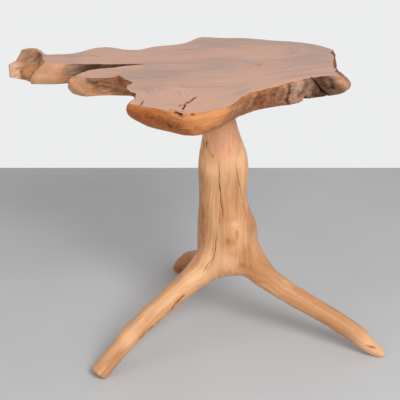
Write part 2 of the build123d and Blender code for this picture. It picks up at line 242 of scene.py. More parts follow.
# Ridges, dents and clefts of the live edge: start, end, half-width, and how far the wood
# stands out there (negative: how deep it goes in).
EDGE_MARKS = metres([
    ((2490, -940, 7420), (2760, -800, 7030), 22, -80),
    ((2760, -800, 7030), (2925, -680, 6850), 28, -80), ((2540, -910, 7360), (2830, -760, 7020), 22, 26),
    ((2700, -860, 7360), (2760, -840, 7180), 80, -22),
    ((2960, -820, 7060), (3180, -740, 6990), 120, -24),
    ((1250, -1830, 7330), (1150, -1890, 7200), 50, -12),
    ((1420, -1700, 7040), (1250, -1800, 6990), 60, -16),
    ((2500, -950, 7180), (2740, -780, 6900), 45, 12), ((3150, -880, 7230), (3220, -840, 7150), 110, 45),
    ((2930, -850, 7300), (3020, -830, 7080), 60, -40), ((2810, -850, 7330), (2880, -830, 7180), 40, 10),
    ((2640, -880, 7380), (2700, -860, 7260), 50, 10),
    ((2250, -1080, 7330), (2130, -1180, 7080), 60, 30),
    ((1980, -1280, 7300), (1900, -1300, 7000), 50, -40),
    ((1650, -1560, 7250), (1500, -1650, 7120), 80, -12),
    ((1150, -1900, 7300), (1000, -2000, 7050), 70, 30),
    ((-2570, -860, 7300), (-2380, -800, 7120), 85, -30),
    ((-2350, -750, 7260), (-2120, -680, 7170), 50, -16),
    ((-2300, -720, 7060), (-2000, -600, 6960), 70, -22),
    ((-2400, -780, 7130), (-2150, -620, 7090), 35, 20),
    ((-4330, 1150, 7390), (-4180, 850, 6950), 60, -15),
    ((-4100, 1000, 7390), (-3950, 600, 7250), 60, -25),
    ((-3130, 100, 7280), (-2850, 110, 7180), 100, -10),
    ((-3300, 110, 7350), (-3400, 120, 7000), 80, 30), ((3187, 1041, 7400), (3170, 800, 7300), 60, -45),
    ((3120, 100, 7400), (3130, -200, 7350), 80, -40), ((3130, -463, 7400), (3260, -600, 7250), 50, -50),
    ((2325, -915, 6850), (2400, -880, 6880), 50, -80),
    ((1960, -1290, 6850), (1930, -1310, 6960), 30, -30),
    ((2000, -1260, 6890), (2240, -1060, 6910), 105, 90),
    ((-560, -3156, 7390), (-520, -3180, 7375), 28, -60),
    ((-478, -3198, 7360), (-420, -3210, 7345), 30, -70),
    ((-192, -3221, 7368), (-160, -3221, 7368), 22, -40),
    ((-700, -3029, 7060), (-640, -3029, 7030), 45, -45),
    ((-730, -3029, 7010), (-600, -3029, 6985), 40, 22),
    ((-3050, -650, 7360), (-2740, -800, 6920), 80, 45),
    ((-3700, 311, 7390), (-4010, 231, 6950), 90, 50),
    ((-1450, -2029, 7400), (-1300, -1750, 6950), 70, -60),
    ((-1900, -780, 7380), (-1850, -700, 7150), 40, -22),
    ((-1650, -900, 7300), (-1550, -1100, 6950), 70, -30),
    ((-1480, -2480, 7365), (-1000, -2900, 7350), 18, -10),
    ((-1000, -2900, 7350), (-700, -3030, 7300), 20, -14),
])

# Places where the fibres of the wall don't run level: middle and radius in metres, and how
# far they dip, in degrees, on the way out from the end of the slit.
FIBRE_TILTS = [
    ((-0.430, 0.100, 0.715), 0.055, 50.0), ((-0.385, 0.040, 0.710), 0.045, 16.0),
    ((-0.285, -0.075, 0.712), 0.028, 38.0), ((-0.215, -0.065, 0.712), 0.030, -25.0),
    ((0.265, -0.090, 0.710), 0.022, 55.0), ((0.150, -0.155, 0.715), 0.050, -14.0),
    ((0.210, -0.115, 0.710), 0.025, 30.0),
]
SLIT_END = (-0.132, 0.007)

# Places, each with a radius: browner wood and red-brown speckles of the lip, grey bark, and
# wood of the top that is warmer or greyer than the rest; the greyer places partly stand for
# the painted sheen of the satin top.
LIP_GLAZE = metres([
    (-1400, -2650, 7150, 260), (-1200, -2850, 7100, 300), (-900, -2960, 7080, 260),
    (-620, -3080, 6980, 160), (-320, -3150, 6940, 100), (450, -2800, 7080, 120),
])
LIP_PATCHES = metres([
    (-1350, -2750, 7100, 120), (-1080, -2890, 7200, 130), (-850, -2970, 7150, 160),
    (-700, -3029, 7040, 140), (-520, -3120, 7050, 220), (-340, -3150, 6960, 140),
    (260, -3020, 7000, 70), (-100, -3190, 7080, 60), (450, -2800, 7080, 90), (950, -2040, 7150, 200),
    (1200, -1860, 7150, 260), (1500, -1680, 7150, 260), (1800, -1440, 7150, 180),
    (2850, -870, 7150, 200), (3080, -850, 7250, 140), (-2000, -600, 7000, 160),
    (-1850, -700, 7300, 160),
])
BARK_PATCHES = metres([
    (-2970, 118, 7237, 190), (-3120, 102, 7270, 140), (-4228, 1080, 7185, 120),
    (-4391, 1208, 7274, 120), (-4200, 845, 7050, 120), (2130, -1179, 7260, 120),
    (2450, -950, 7000, 100), (3000, -830, 7200, 120), (-3850, 450, 7370, 140), (-4100, 800, 7350, 140),
])
WARM_PLACES = metres([
    (-2600, -600, 7400, 500), (-2300, 500, 7400, 700), (-50, -2400, 7400, 900),
    (-800, -2200, 7400, 500), (-3500, 400, 7400, 400), (1300, -1300, 7400, 600), (200, 900, 7400, 450),
    (1500, 800, 7400, 500),
])
GREY_AND_SHEEN_PLACES = metres([
    (-1700, -900, 7400, 550), (-1000, -800, 7400, 550), (-3100, 800, 7400, 350), (500, 200, 7400, 600),
    (2500, 1000, 7400, 800), (600, 1900, 7400, 600), (-1100, -1700, 7400, 300),
])

# Line of orange sapwood along the rim of the top, and its half-width.
SAP_LINE = metres([(1200, -1870), (1480, -1680), (1780, -1450), (2050, -1220), (2250, -1090)])
SAP_WIDTH = 0.0095

# Cracks of the top: points, half-width and depth.
TOP_CRACKS = metres([
    ([(-120, -2195), (-205, -2380), (-255, -2515), (-360, -2640)], 24, 65),
    ([(-235, -2450), (-280, -2550), (-340, -2620)], 30, 60),
    ([(-360, -2640), (-345, -2760), (-375, -2850), (-390, -2960)], 22, 70),
    ([(-360, -2640), (-430, -2700), (-455, -2780)], 15, 50),
    ([(-255, -2515), (-300, -2500), (-330, -2530)], 9, 30),
    ([(-1235, -2520), (-1245, -2600), (-1275, -2700)], 15, 50),
    ([(-600, -3020), (-500, -3070), (-400, -3100)], 16, 50),
    ([(-1250, 80), (-1000, 95), (-780, 80)], 8, 30),
    ([(-2700, 800), (-2560, 740), (-2500, 660)], 8, 20),
])

# Knots and eyes in the figure of the top: centre, reach along and across the grain, and
# how far they push the grain lines aside.
EYES = metres([
    ((-733, -2290), 340, 320, 950), ((2000, 850), 500, 300, 500), ((1050, 1000), 450, 240, -400),
    ((1300, -450), 600, 340, 450), ((-2700, 700), 200, 120, -140),
])

# Cracks and grooves of the stem: points near the surface, half-width and depth.
STEM_CRACKS = metres([
    ([(405, -744, 5250), (432, -759, 4950), (428, -752, 4680), (470, -739, 4400), (478, -739, 4150),
      (540, -746, 3780)], 7, 40),
    ([(800, -700, 5230), (865, -674, 4900), (969, -584, 4420), (1036, -482, 4050), (1111, -516, 3700)],
      6, 35),
    ([(400, -761, 3500), (392, -761, 3250), (360, -746, 3010), (350, -737, 2780), (246, -761, 2520),
      (110, -840, 2220)], 5, 26),
    ([(455, -765, 4000), (450, -767, 3700), (415, -770, 3450)], 4, 18),
    ([(55, -520, 3920), (58, -530, 3740), (70, -550, 3570)], 7, 30),
    ([(340, -740, 2740), (260, -780, 2430), (140, -840, 2240)], 5, 22),
    ([(300, -750, 3120), (290, -750, 2900), (200, -770, 2620)], 3, 14),
    ([(290, -740, 2580), (120, -820, 2400), (50, -870, 2240)], 5, 20),
    ([(-400, -1120, 1780), (-500, -1180, 1650), (-620, -1240, 1560), (-783, -1334, 1410),
      (-900, -1400, 1320)], 20, 50),
    ([(-850, -1390, 1360), (-1277, -1638, 1110), (-1521, -1783, 1000)], 6, 20),
    ([(4186, -1366, 410), (4369, -1370, 350), (4500, -1354, 300)], 8, 25),
    ([(85, -520, 5670), (100, -560, 5520)], 14, 18),
    ([(272, -660, 5420), (285, -670, 5340)], 8, 12),
    ([(640, 600, 5200), (680, 620, 4700), (650, 620, 4300), (700, 640, 3600)], 7, 40),
])

# Dents of the stem: start, end, half-width and depth.
STEM_DENTS = metres([
    ((640, -801, 3150), (650, -801, 3030), 40, 25), ((886, -767, 3330), (880, -767, 3230), 40, 25),
    ((783, -776, 3480), (775, -776, 3440), 30, 15), ((933, -731, 3480), (938, -731, 3420), 25, 20),
    ((-480, -1170, 1690), (-620, -1260, 1540), 60, 30),
    ((4560, -1354, 300), (4640, -1330, 200), 70, 50),
])

# Brown streaks of the stem: points and half-width.
STEM_STREAKS = metres([
    ([(32, -469, 4000), (32, -484, 3740), (45, -521, 3570), (70, -557, 3300)], 55),
    ([(15, -440, 3450), (45, -510, 3050)], 60),
    ([(42, -364, 5723), (66, -449, 5577), (113, -543, 5461)], 40),
    ([(180, -600, 5480), (232, -655, 5378), (304, -698, 5319)], 30),
    ([(137, -528, 5712), (160, -560, 5600)], 30),
    ([(880, -600, 5460), (900, -620, 5360)], 25),
    ([(1055, -467, 4093), (1111, -459, 3813), (1111, -588, 3545)], 35),
    ([(-400, -1120, 1780), (-620, -1240, 1560), (-900, -1400, 1320)], 60),
    ([(-900, -1430, 1300), (-1645, -1855, 840)], 50),
    ([(480, -739, 4400), (540, -746, 3780), (430, -770, 3350)], 28),
    ([(640, -801, 3180), (650, -801, 2980)], 34),
    ([(880, -767, 3400), (895, -767, 3140)], 32),
    ([(720, -790, 3360), (735, -790, 3120)], 16),
    ([(800, -780, 3230), (810, -780, 2990)], 16),
    ([(980, -720, 3300), (1000, -720, 2960)], 20),
    ([(4186, -1366, 410), (4500, -1370, 300)], 30),
])

# Places on the stem, each with a radius: brown stains, pale wood together with painted
# highlights, deeper wood that is partly painted shade (as on the trunk's left side and the
# rear leg), and the worn tip of the right foot, whose paleness is partly a painted highlight.
STEM_STAINS = metres([
    (1054, -705, 2400, 120), (1200, -702, 2294, 90), (-550, -1200, 1600, 100), (4480, -1390, 330, 50),
    (-600, 2600, 550, 900), (-400, 1800, 1000, 700),
])
PALE_AND_HIGHLIT_PLACES = metres([
    (4450, -1380, 280, 300), (200, -700, 5000, 220), (1000, -600, 5200, 300), (-300, -900, 2100, 120),
    (620, -802, 2526, 260), (-1764, -1888, 927, 280), (4263, -1366, 409, 300), (850, -790, 3550, 120),
])
DEEPER_AND_SHADED_PLACES = metres([
    (1800, -500, 2000, 600), (2600, -700, 1600, 800), (3300, -950, 1050, 600), (-150, -250, 4400, 400),
    (-150, -250, 3700, 450), (-300, 1600, 1200, 1000), (-600, 2600, 550, 900), (1200, -400, 3500, 300),
    (800, -800, 2690, 160), (1080, -740, 2680, 200), (700, -800, 3050, 140),
])
TIP_PLACE = (0.4620, -0.1300, 0.0120, 0.026)

# Middle of the stem, and its legs: reach in metres, angle in degrees and the middle line
# from the hub out to the foot, as way out in shares of the reach and height in metres.
HUB = Vector((0.064, -0.012, 0.0))
LEGS = [
    (0.380, 212.0, [
        (0.05, 0.330), (0.16, 0.223), (0.395, 0.169), (0.632, 0.117), (0.868, 0.050), (1.0, 0.007),
    ]),
    (0.404, 344.0, [
        (0.05, 0.334), (0.16, 0.231), (0.378, 0.157), (0.680, 0.097), (0.836, 0.063), (1.05, 0.003),
    ]),
    (0.350, 111.5, [
        (0.05, 0.330), (0.18, 0.227), (0.443, 0.164), (0.717, 0.091), (0.854, 0.050), (1.0, 0.007),
    ]),
]
STEM_CROTCH_HEIGHT = 0.235

# Places, each with a radius, where wood hangs lower between the trunk and the front legs and
# how far, how high the underside arches between the legs, and how far the rear leg sags.
CROTCH_CORNERS = [(0.026, -0.070, 0.205, 0.028), (0.124, -0.060, 0.205, 0.030)]
CROTCH_MIDDLE = (0.050, -0.070, 0.205, 0.034)
CROTCH_DROP = 0.0055
ARCH_RISE = 0.003
REAR_LEG_SAG = 0.016


def smooth_step(value, low, high):
    """0 below low, 1 above high and an even rise between them."""
    t = np.clip((value - low) / (high - low), 0, 1)
    return t * t * (3 - 2 * t)


def smooth_through(knots, values, wanted):
    """Values of the natural cubic curve through given values, at the wanted places along it."""
    count = len(knots)
    gaps = np.diff(knots)
    slopes = np.diff(values, axis=0) / gaps[:, None]
    matrix = np.eye(count)
    right = np.zeros_like(values)
    for i in range(1, count - 1):
        matrix[i, i - 1:i + 2] = gaps[i - 1], 2 * (gaps[i - 1] + gaps[i]), gaps[i]
        right[i] = 6 * (slopes[i] - slopes[i - 1])
    bends = np.linalg.solve(matrix, right)
    i = np.clip(np.searchsorted(knots, wanted) - 1, 0, count - 2)
    gap = gaps[i][:, None]
    after = (wanted - knots[i])[:, None]
    before = gap - after
    return (
        (bends[i] * before**3 + bends[i + 1] * after**3) / (6 * gap)
        + (values[i] / gap - bends[i] * gap / 6) * before
        + (values[i + 1] / gap - bends[i + 1] * gap / 6) * after
    )


def lumps(points, size, seed):
    """Smooth random values, from about -1 to 1, whose lumps have the given size on each axis."""
    rng = np.random.default_rng(seed)
    ways = rng.normal(size=(256, 3))
    ways /= np.linalg.norm(ways, axis=1)[:, None]
    order = rng.permutation(256)
    place = points / np.asarray(size) + rng.uniform(0, 64, 3)
    cell = np.floor(place).astype(int)
    part = place - cell
    fade = part**3 * (part * (part * 6 - 15) + 10)
    total = np.zeros(len(points))
    for corner in np.ndindex(2, 2, 2):
        step = np.array(corner)
        x, y, z = (cell + step).T & 255
        way = ways[order[(order[(order[x] + y) & 255] + z) & 255]]
        weight = np.prod(np.where(step, fade, 1 - fade), axis=1)
        total += weight * ((part - step) * way).sum(axis=1)
    return total * 1.6


def distance_to_line(points, line, taper=False):
    """Distance of each point to a line of straight stretches.

    With taper, also a share that falls from 1 at the line's middle to 0 at its ends."""
    nearest = np.full(len(points), np.inf)
    reached = np.zeros(len(points))
    stretches = [np.linalg.norm(np.subtract(end, start)) for start, end in zip(line[:-1], line[1:])]
    total, passed = sum(stretches), 0.0
    for start, end, length in zip(line[:-1], line[1:], stretches):
        start, end = np.array(start, float), np.array(end, float)
        run = end - start
        share = np.clip(((points - start) @ run) / (run @ run), 0, 1)
        far = np.linalg.norm(points - start - share[:, None] * run, axis=1)
        reached = np.where(far < nearest, (passed + share * length) / total, reached)
        nearest = np.minimum(nearest, far)
        passed += length
    if taper:
        return nearest, np.sqrt(np.sin(np.clip(reached, 0, 1) * math.pi))
    return nearest


def bell(distance, width):
    """1 at no distance, fading out evenly over the given width."""
    return np.exp(-((distance / width) ** 2))


def glow_round(points, places):
    """1 at the given places, fading out over each one's own radius (the fourth number)."""
    glow = np.zeros(len(points))
    for *place, radius in places:
        glow = np.maximum(glow, bell(np.linalg.norm(points - np.array(place), axis=1), radius))
    return glow


def new_object(name, data):
    """A new object in the scene, with its origin at the scene's."""
    piece = bpy.data.objects.new(name, data)
    bpy.context.scene.collection.objects.link(piece)
    return piece


def mesh_object(name, vertices, faces):
    """A smooth-shaded object from points and faces."""
    mesh = bpy.data.meshes.new(name)
    mesh.from_pydata([tuple(v) for v in vertices], [], [tuple(f) for f in faces])
    mesh.validate()
    mesh.shade_smooth()
    return new_object(name, mesh)


def apply_modifiers(piece):
    """Turns what the piece's modifiers make into its own plain mesh."""
    graph = bpy.context.evaluated_depsgraph_get()
    baked = bpy.data.meshes.new_from_object(piece.evaluated_get(graph))
    piece.modifiers.clear()
    piece.data = baked


def set_attribute(piece, name, values):
    """Writes one number or one vector for each vertex."""
    kind, field = ("FLOAT_VECTOR", "vector") if np.ndim(values) == 2 else ("FLOAT", "value")
    layer = piece.data.attributes.new(name, kind, "POINT")
    layer.data.foreach_set(field, np.asarray(values, np.float32).ravel())


def vertex_array(mesh, field="co"):
    """The places, or normals, of a mesh's vertices."""
    values = np.zeros(len(mesh.vertices) * 3, np.float32)
    mesh.vertices.foreach_get(field, values)
    return values.reshape(-1, 3).astype(float)


def move_vertices(mesh, places):
    """Moves a mesh's vertices to the given places."""
    mesh.vertices.foreach_set("co", places.astype(np.float32).ravel())
    mesh.update()


def band(here, above, count, clockwise=True):
    """Faces between two rings of points, which start at the given places in the mesh."""
    faces = []
    for i in range(count):
        j = (i + 1) % count
        a, b, c, d = here + i, above + i, above + j, here + j
        faces.append((a, b, c, d) if clockwise else (a, d, c, b))
    return faces


def live_edge_columns(step):
    """Columns of the wall: places at each level, the finish of each column and its run's number."""
    size = np.array((SLAB_LENGTH, SLAB_DEPTH))
    loop = np.array([row for rows, _ in LIVE_EDGE for row in rows])
    middle = (loop[:, 0:2] + loop[:, 2:4]) / 2 * size
    run = np.roll(middle, -1, axis=0) - np.roll(middle, 1, axis=0)
    out = np.c_[-run[:, 1], run[:, 0]] / np.linalg.norm(run, axis=1)[:, None]
    levels = []
    for _, way, bulge in LEVELS:
        edge = (loop[:, 2:4] + (loop[:, 0:2] - loop[:, 2:4]) * way) * size
        levels.append(edge + out * (loop[:, 4] * bulge * SLAB_THICKNESS)[:, None])
    places = np.stack(levels, axis=1)
    columns, finishes, runs = [], [], []
    start = 0
    for number, (rows, finish) in enumerate(LIVE_EDGE):
        index = [(start + i) % len(loop) for i in range(len(rows) + 1)]
        start += len(rows)
        knots_at = places[index].reshape(len(index), -1)
        chord = np.linalg.norm(np.diff(places[index, 2], axis=0), axis=1)
        knots = np.r_[0, np.cumsum(chord)]
        fine = np.linspace(0, knots[-1], TRACE_STEPS)
        trace = smooth_through(knots, knots_at, fine)[:, 4:6]
        travelled = np.r_[0, np.cumsum(np.linalg.norm(np.diff(trace, axis=0), axis=1))]
        count = max(4, round(travelled[-1] / step))
        share = np.arange(count) / count
        wanted = np.interp(share * travelled[-1], travelled, fine)
        columns.append(smooth_through(knots, knots_at, wanted).reshape(count, len(LEVELS), 2))
        at, *table = np.array(finish).T
        finishes.append(np.stack([np.interp(share, at, values) for values in table], axis=1))
        runs.append(np.full(count, number))
    return np.concatenate(columns), np.concatenate(finishes), np.concatenate(runs)


def along_loop(values, width):
    """Values of a closed loop, averaged over a few neighbours each way."""
    total = values.copy()
    for shift in range(1, width + 1):
        total += np.roll(values, shift, axis=0) + np.roll(values, -shift, axis=0)
    return total / (2 * width + 1)


def outward(loop):
    """Outward unit normals of a clockwise closed loop of points in plan."""
    run = along_loop(np.roll(loop, -1, axis=0) - np.roll(loop, 1, axis=0), 2)
    return np.c_[-run[:, 1], run[:, 0]] / np.maximum(np.linalg.norm(run, axis=1), 1e-9)[:, None]


def left_turn(start, end, points):
    """Which points lie to the left of the way from start to end, in plan."""
    run, ahead = end - start, points - start
    return run[:, 0] * ahead[:, 1] > run[:, 1] * ahead[:, 0]


def untangled(loop):
    """The closed loop in plan with its tiny crossings smoothed out, so that a cap fits it."""
    loop = loop.copy()
    for _ in range(80):
        ahead = np.roll(loop, -1, axis=0)
        tangled = np.zeros(len(loop), bool)
        for gap in range(2, 10):
            start, end = np.roll(loop, -gap, axis=0), np.roll(ahead, -gap, axis=0)
            crossing = left_turn(loop, ahead, start) != left_turn(loop, ahead, end)
            crossing &= left_turn(start, end, loop) != left_turn(start, end, ahead)
            for shift in range(-2, gap + 4):
                tangled |= np.roll(crossing, shift)
        if not tangled.any():
            return loop
        loop[tangled] = along_loop(loop, 1)[tangled]
    raise RuntimeError("the slab's rim crosses itself")


def inside(points, loop):
    """Which points in plan lie inside a closed loop."""
    ahead = np.roll(loop, -1, axis=0)
    odd = np.zeros(len(points), bool)
    for (x0, y0), (x1, y1) in zip(loop, ahead):
        between = (points[:, 1] < y0) != (points[:, 1] < y1)
        if y0 != y1:
            odd ^= between & (points[:, 0] < x0 + (points[:, 1] - y0) / (y1 - y0) * (x1 - x0))
    return odd


def cap(loops, starts, extra, upward, total):
    """Triangles that fill the first loop in plan and leave the other loops open.

    The loops' points already stand in the mesh from the given starts; the extra points go in
    from total on. Returns the faces and the points to add."""
    points, edges, names = [], [], []
    for loop, start in zip(loops, starts):
        first, size = len(points), len(loop)
        points += [Vector(p) for p in loop]
        names += [start + i for i in range(size)]
        edges += [(first + i, first + (i + 1) % size) for i in range(size)]
    rim = len(points)
    points += [Vector(p) for p in extra]
    made = geometry.delaunay_2d_cdt(points, edges, [], 2, 1e-7)
    places = np.array([tuple(p) for p in made[0]])
    index, fresh = [], []
    for place, source in zip(places, made[3]):
        if source and min(source) < rim:
            index.append(names[min(source)])
        else:
            index.append(total + len(fresh))
            fresh.append(place)
    middles = np.array([places[list(face)].mean(axis=0) for face in made[2]])
    left_open = np.zeros(len(middles), bool)
    for loop in loops[1:]:
        left_open |= inside(middles, loop)
    faces = []
    for face, in_hole in zip(made[2], left_open):
        if in_hole:
            continue
        a, b, c = (places[i] for i in face[:3])
        turn = (b[0] - a[0]) * (c[1] - a[1]) - (b[1] - a[1]) * (c[0] - a[0])
        face = tuple(index[i] for i in face)
        faces.append(face if (turn > 0) == upward else face[::-1])
    return faces, np.array(fresh)


def net_inside(rim, step):
    """An even net of points inside the rim, clear of it."""
    low, high = rim.min(0), rim.max(0)
    xs = np.arange(low[0], high[0], step)
    ys = np.arange(low[1], high[1], step * 0.87)
    return clear_of(np.array([(x + (k % 2) * step / 2, y) for k, y in enumerate(ys) for x in xs]), rim)


def clear_of(points, rim):
    """The points that lie inside the rim and clear of it."""
    points = points[inside(points, rim)]
    tree = kdtree.KDTree(len(rim))
    for i, (x, y) in enumerate(rim):
        tree.insert((x, y, 0), i)
    tree.balance()
    return points[np.array([tree.find((x, y, 0))[2] > RIM_CLEARANCE for x, y in points])]


def grain_of_slab(points):
    """Place of each point in the wood, as across, depth and along a grain that bends round the eyes."""
    flat = points * (1, 1, 0)
    swirl = smooth_step(points[:, 0], -0.10, 0.16)
    front = smooth_step(points[:, 0], -0.04, 0.18) * smooth_step(-points[:, 1], -0.02, 0.15)
    across = points[:, 1] - 0.8 * front * (points[:, 0] + 0.04)
    wide_bends = 0.030 * lumps(flat, 0.30, 11) + 0.075 * swirl * lumps(flat, 0.15, 12)
    across += wide_bends + 0.004 * lumps(flat, 0.035, 13)
    across += 0.020 * swirl * lumps(flat, 0.06, 15)
    along = points[:, 0] + 0.010 * lumps(flat, 0.12, 14)
    for (x, y), reach_along, reach_across, push in EYES:
        far = ((points[:, 0] - x) / reach_along) ** 2 + ((points[:, 1] - y) / reach_across) ** 2
        across += push * np.exp(-far / 2)
    return np.c_[across, points[:, 2], along]


def travelled_along(loop):
    """Distance along a closed loop to each of its points, and then its whole length."""
    return np.r_[0, np.cumsum(np.linalg.norm(np.roll(loop, -1, axis=0) - loop, axis=1))]


def way_round(loop, travelled):
    """Distance of each column from the end of the slit, whichever way round is nearer."""
    total = travelled[-1]
    first = np.argmin(np.linalg.norm(loop - np.array(SLIT_END), axis=1))
    return np.abs((travelled[:-1] - travelled[first] + total / 2) % total - total / 2)


def fibres_of_wall(place, along):
    """Place of each wall point in its wood: up, out and along the fibres, which dip here and there."""
    up = place[:, 2].copy()
    along = along.copy()
    for middle, radius, tilt in FIBRE_TILTS:
        far = np.linalg.norm(place - np.array(middle), axis=1)
        turn = math.radians(tilt) * bell(far, radius)
        start = along[np.argmin(far)]
        rise, way = up - middle[2], along - start
        up = middle[2] + way * np.sin(turn) + rise * np.cos(turn)
        along = start + way * np.cos(turn) - rise * np.sin(turn)
    return np.c_[up, np.zeros(len(up)), along]


def wall_relief(place, fibres, rough, burl):
    """How far the wall stands out at each place, and how much of that is texture."""
    fine = rough * 0.0022 * lumps(place, (0.020, 0.020, 0.026), 2)
    fine += rough * 0.0022 * (0.45 - np.sqrt(np.abs(lumps(fibres, (0.009, 0.012, 0.040), 3))))
    fine += rough * 0.0009 * lumps(fibres, (0.0055, 0.010, 0.030), 4)
    fine += rough * 0.0006 * lumps(place, 0.006, 7)
    fine += burl * 0.0045 * (0.50 - np.sqrt(np.abs(lumps(place, (0.011, 0.011, 0.015), 5))))
    fine += burl * 0.0012 * (0.30 - np.abs(lumps(place, 0.006, 6)))
    return 0.0014 * lumps(place, 0.045, 1) + fine, fine / FULL_TEXTURE


def wall_marks(place, unrolled):
    """How far the marks push the wall, their painted shade, and their wear and painted highlight.

    Shade is painted where a mark goes into the wall, and a ridge is painted paler, as wear and
    highlight."""
    marks, dent_shade, ridge_wear_and_highlight = np.zeros((3, len(place)))
    for start, end, width, height in EDGE_MARKS:
        line = [unrolled[np.argmin(np.linalg.norm(place - np.array(p), axis=1))] for p in (start, end)]
        glow = bell(distance_to_line(unrolled, line), width)
        marks += height * glow
        glow = glow * min(1, abs(height) / FULL_MARK)
        if height < 0:
            dent_shade = np.maximum(dent_shade, glow)
        else:
            ridge_wear_and_highlight = np.maximum(ridge_wear_and_highlight, 0.7 * glow)
    return marks, dent_shade, ridge_wear_and_highlight


def wall_of_slab(settings):
    """The live edge as a grid of points, with its finish, fibres, relief, and the painted shade and the wear
    and painted highlight of its marks.
    """
    columns, finish, runs = live_edge_columns(settings.wall_step)
    count = len(columns)
    shares = np.linspace(0, 1, WALL_ROWS)
    heights = np.array([level[0] for level in LEVELS])
    flat = columns.transpose(1, 0, 2).reshape(len(LEVELS), -1)
    wall = smooth_through(heights, flat, shares).reshape(WALL_ROWS, count, 2)
    low_corner, high_corner = wall.reshape(-1, 2).min(0), wall.reshape(-1, 2).max(0)
    target_low, target_high = np.array(SLAB_LOW[:2]), np.array(SLAB_HIGH[:2])
    wall = (wall - low_corner) / (high_corner - low_corner) * (target_high - target_low) + target_low
    for _ in range(3):
        finish = along_loop(finish, 3)
    level = SLAB_LOW.z + shares * SLAB_THICKNESS
    grid = np.concatenate([wall, np.broadcast_to(level[:, None, None], (WALL_ROWS, count, 1))], axis=2)
    place = grid.reshape(-1, 3).copy()
    middle = wall[WALL_ROWS // 2]
    travelled = travelled_along(middle)
    fibres = fibres_of_wall(place, np.tile(way_round(middle, travelled), WALL_ROWS))
    unrolled = np.c_[np.tile(travelled[:-1], WALL_ROWS), place[:, 2]]
    rough, burl = np.tile(finish[:, :2].T, WALL_ROWS)
    push, relief = wall_relief(place, fibres, rough, burl)
    marks, dent_shade, ridge_wear_and_highlight = wall_marks(place, unrolled)
    push, relief = push + marks, relief + marks / FULL_MARK
    fibres[:, 1] = 1.5 * push
    normals = np.stack([outward(row) for row in wall])
    grid[:, :, :2] += normals * push.reshape(WALL_ROWS, count, 1)
    shape_end_block(grid, runs >= BLOCK_RUN)
    return grid, finish, fibres, relief, dent_shade, ridge_wear_and_highlight


def eased_layers(grid, ease):
    """The wall's rows, with its foot below them and its rounded shoulder and rim above."""
    top, low = SLAB_HIGH.z, SLAB_LOW.z
    count = grid.shape[1]
    normal = outward(grid[-1, :, :2])
    grid[-1, :, 2] = top - ease
    shoulder = np.c_[grid[-1, :, :2] - normal * ease * 0.3, np.full(count, top - ease * 0.3)]
    rim = np.c_[untangled(grid[-1, :, :2] - normal * ease), np.full(count, top)]
    grid[0, :, 2] = low + ease * 0.6
    foot = np.c_[untangled(grid[0, :, :2] - outward(grid[0, :, :2]) * ease * 0.6), np.full(count, low)]
    return np.concatenate([foot[None], grid, shoulder[None], rim[None]])


def slab_body(layers, top_step):
    """Points and faces of the whole slab, and how many of the faces make its underside."""
    layer_count, count = layers.shape[:2]
    foot, rim = layers[0, :, :2], layers[-1, :, :2]
    vertices = [layers.reshape(-1, 3)]
    faces = []
    for row in range(layer_count - 1):
        faces += band(row * count, (row + 1) * count, count)
    total = layer_count * count
    triangles, fresh = cap([rim], [total - count], top_points(rim, top_step), True, total)
    faces += triangles
    vertices.append(np.c_[fresh, np.full(len(fresh), SLAB_HIGH.z)])
    total += len(fresh)

    over_faces = len(faces)
    angle = np.arange(RECESS_SIDES) / RECESS_SIDES * math.tau
    circle = np.c_[np.cos(angle), np.sin(angle)]
    profile = recess_profile()
    rings = [np.c_[circle * radius + SEAT[:2], np.full(RECESS_SIDES, z)] for radius, z in profile]
    vertices += rings
    starts = [total + k * RECESS_SIDES for k in range(len(rings))]
    total += len(rings) * RECESS_SIDES
    net = net_inside(foot, top_step * 1.5)
    from_seat = np.linalg.norm(net - np.array(SEAT[:2]), axis=1)
    net = net[from_seat > profile[0][0] + RIM_CLEARANCE]
    triangles, fresh = cap([foot, rings[0][:, :2]], [0, starts[0]], net, False, total)
    faces += triangles
    vertices.append(np.c_[fresh, np.full(len(fresh), SLAB_LOW.z)])
    for here, above in zip(starts[:-1], starts[1:]):
        faces += band(here, above, RECESS_SIDES)
    faces.append(tuple(starts[-1] + i for i in range(RECESS_SIDES))[::-1])
    return np.concatenate(vertices), faces, len(faces) - over_faces


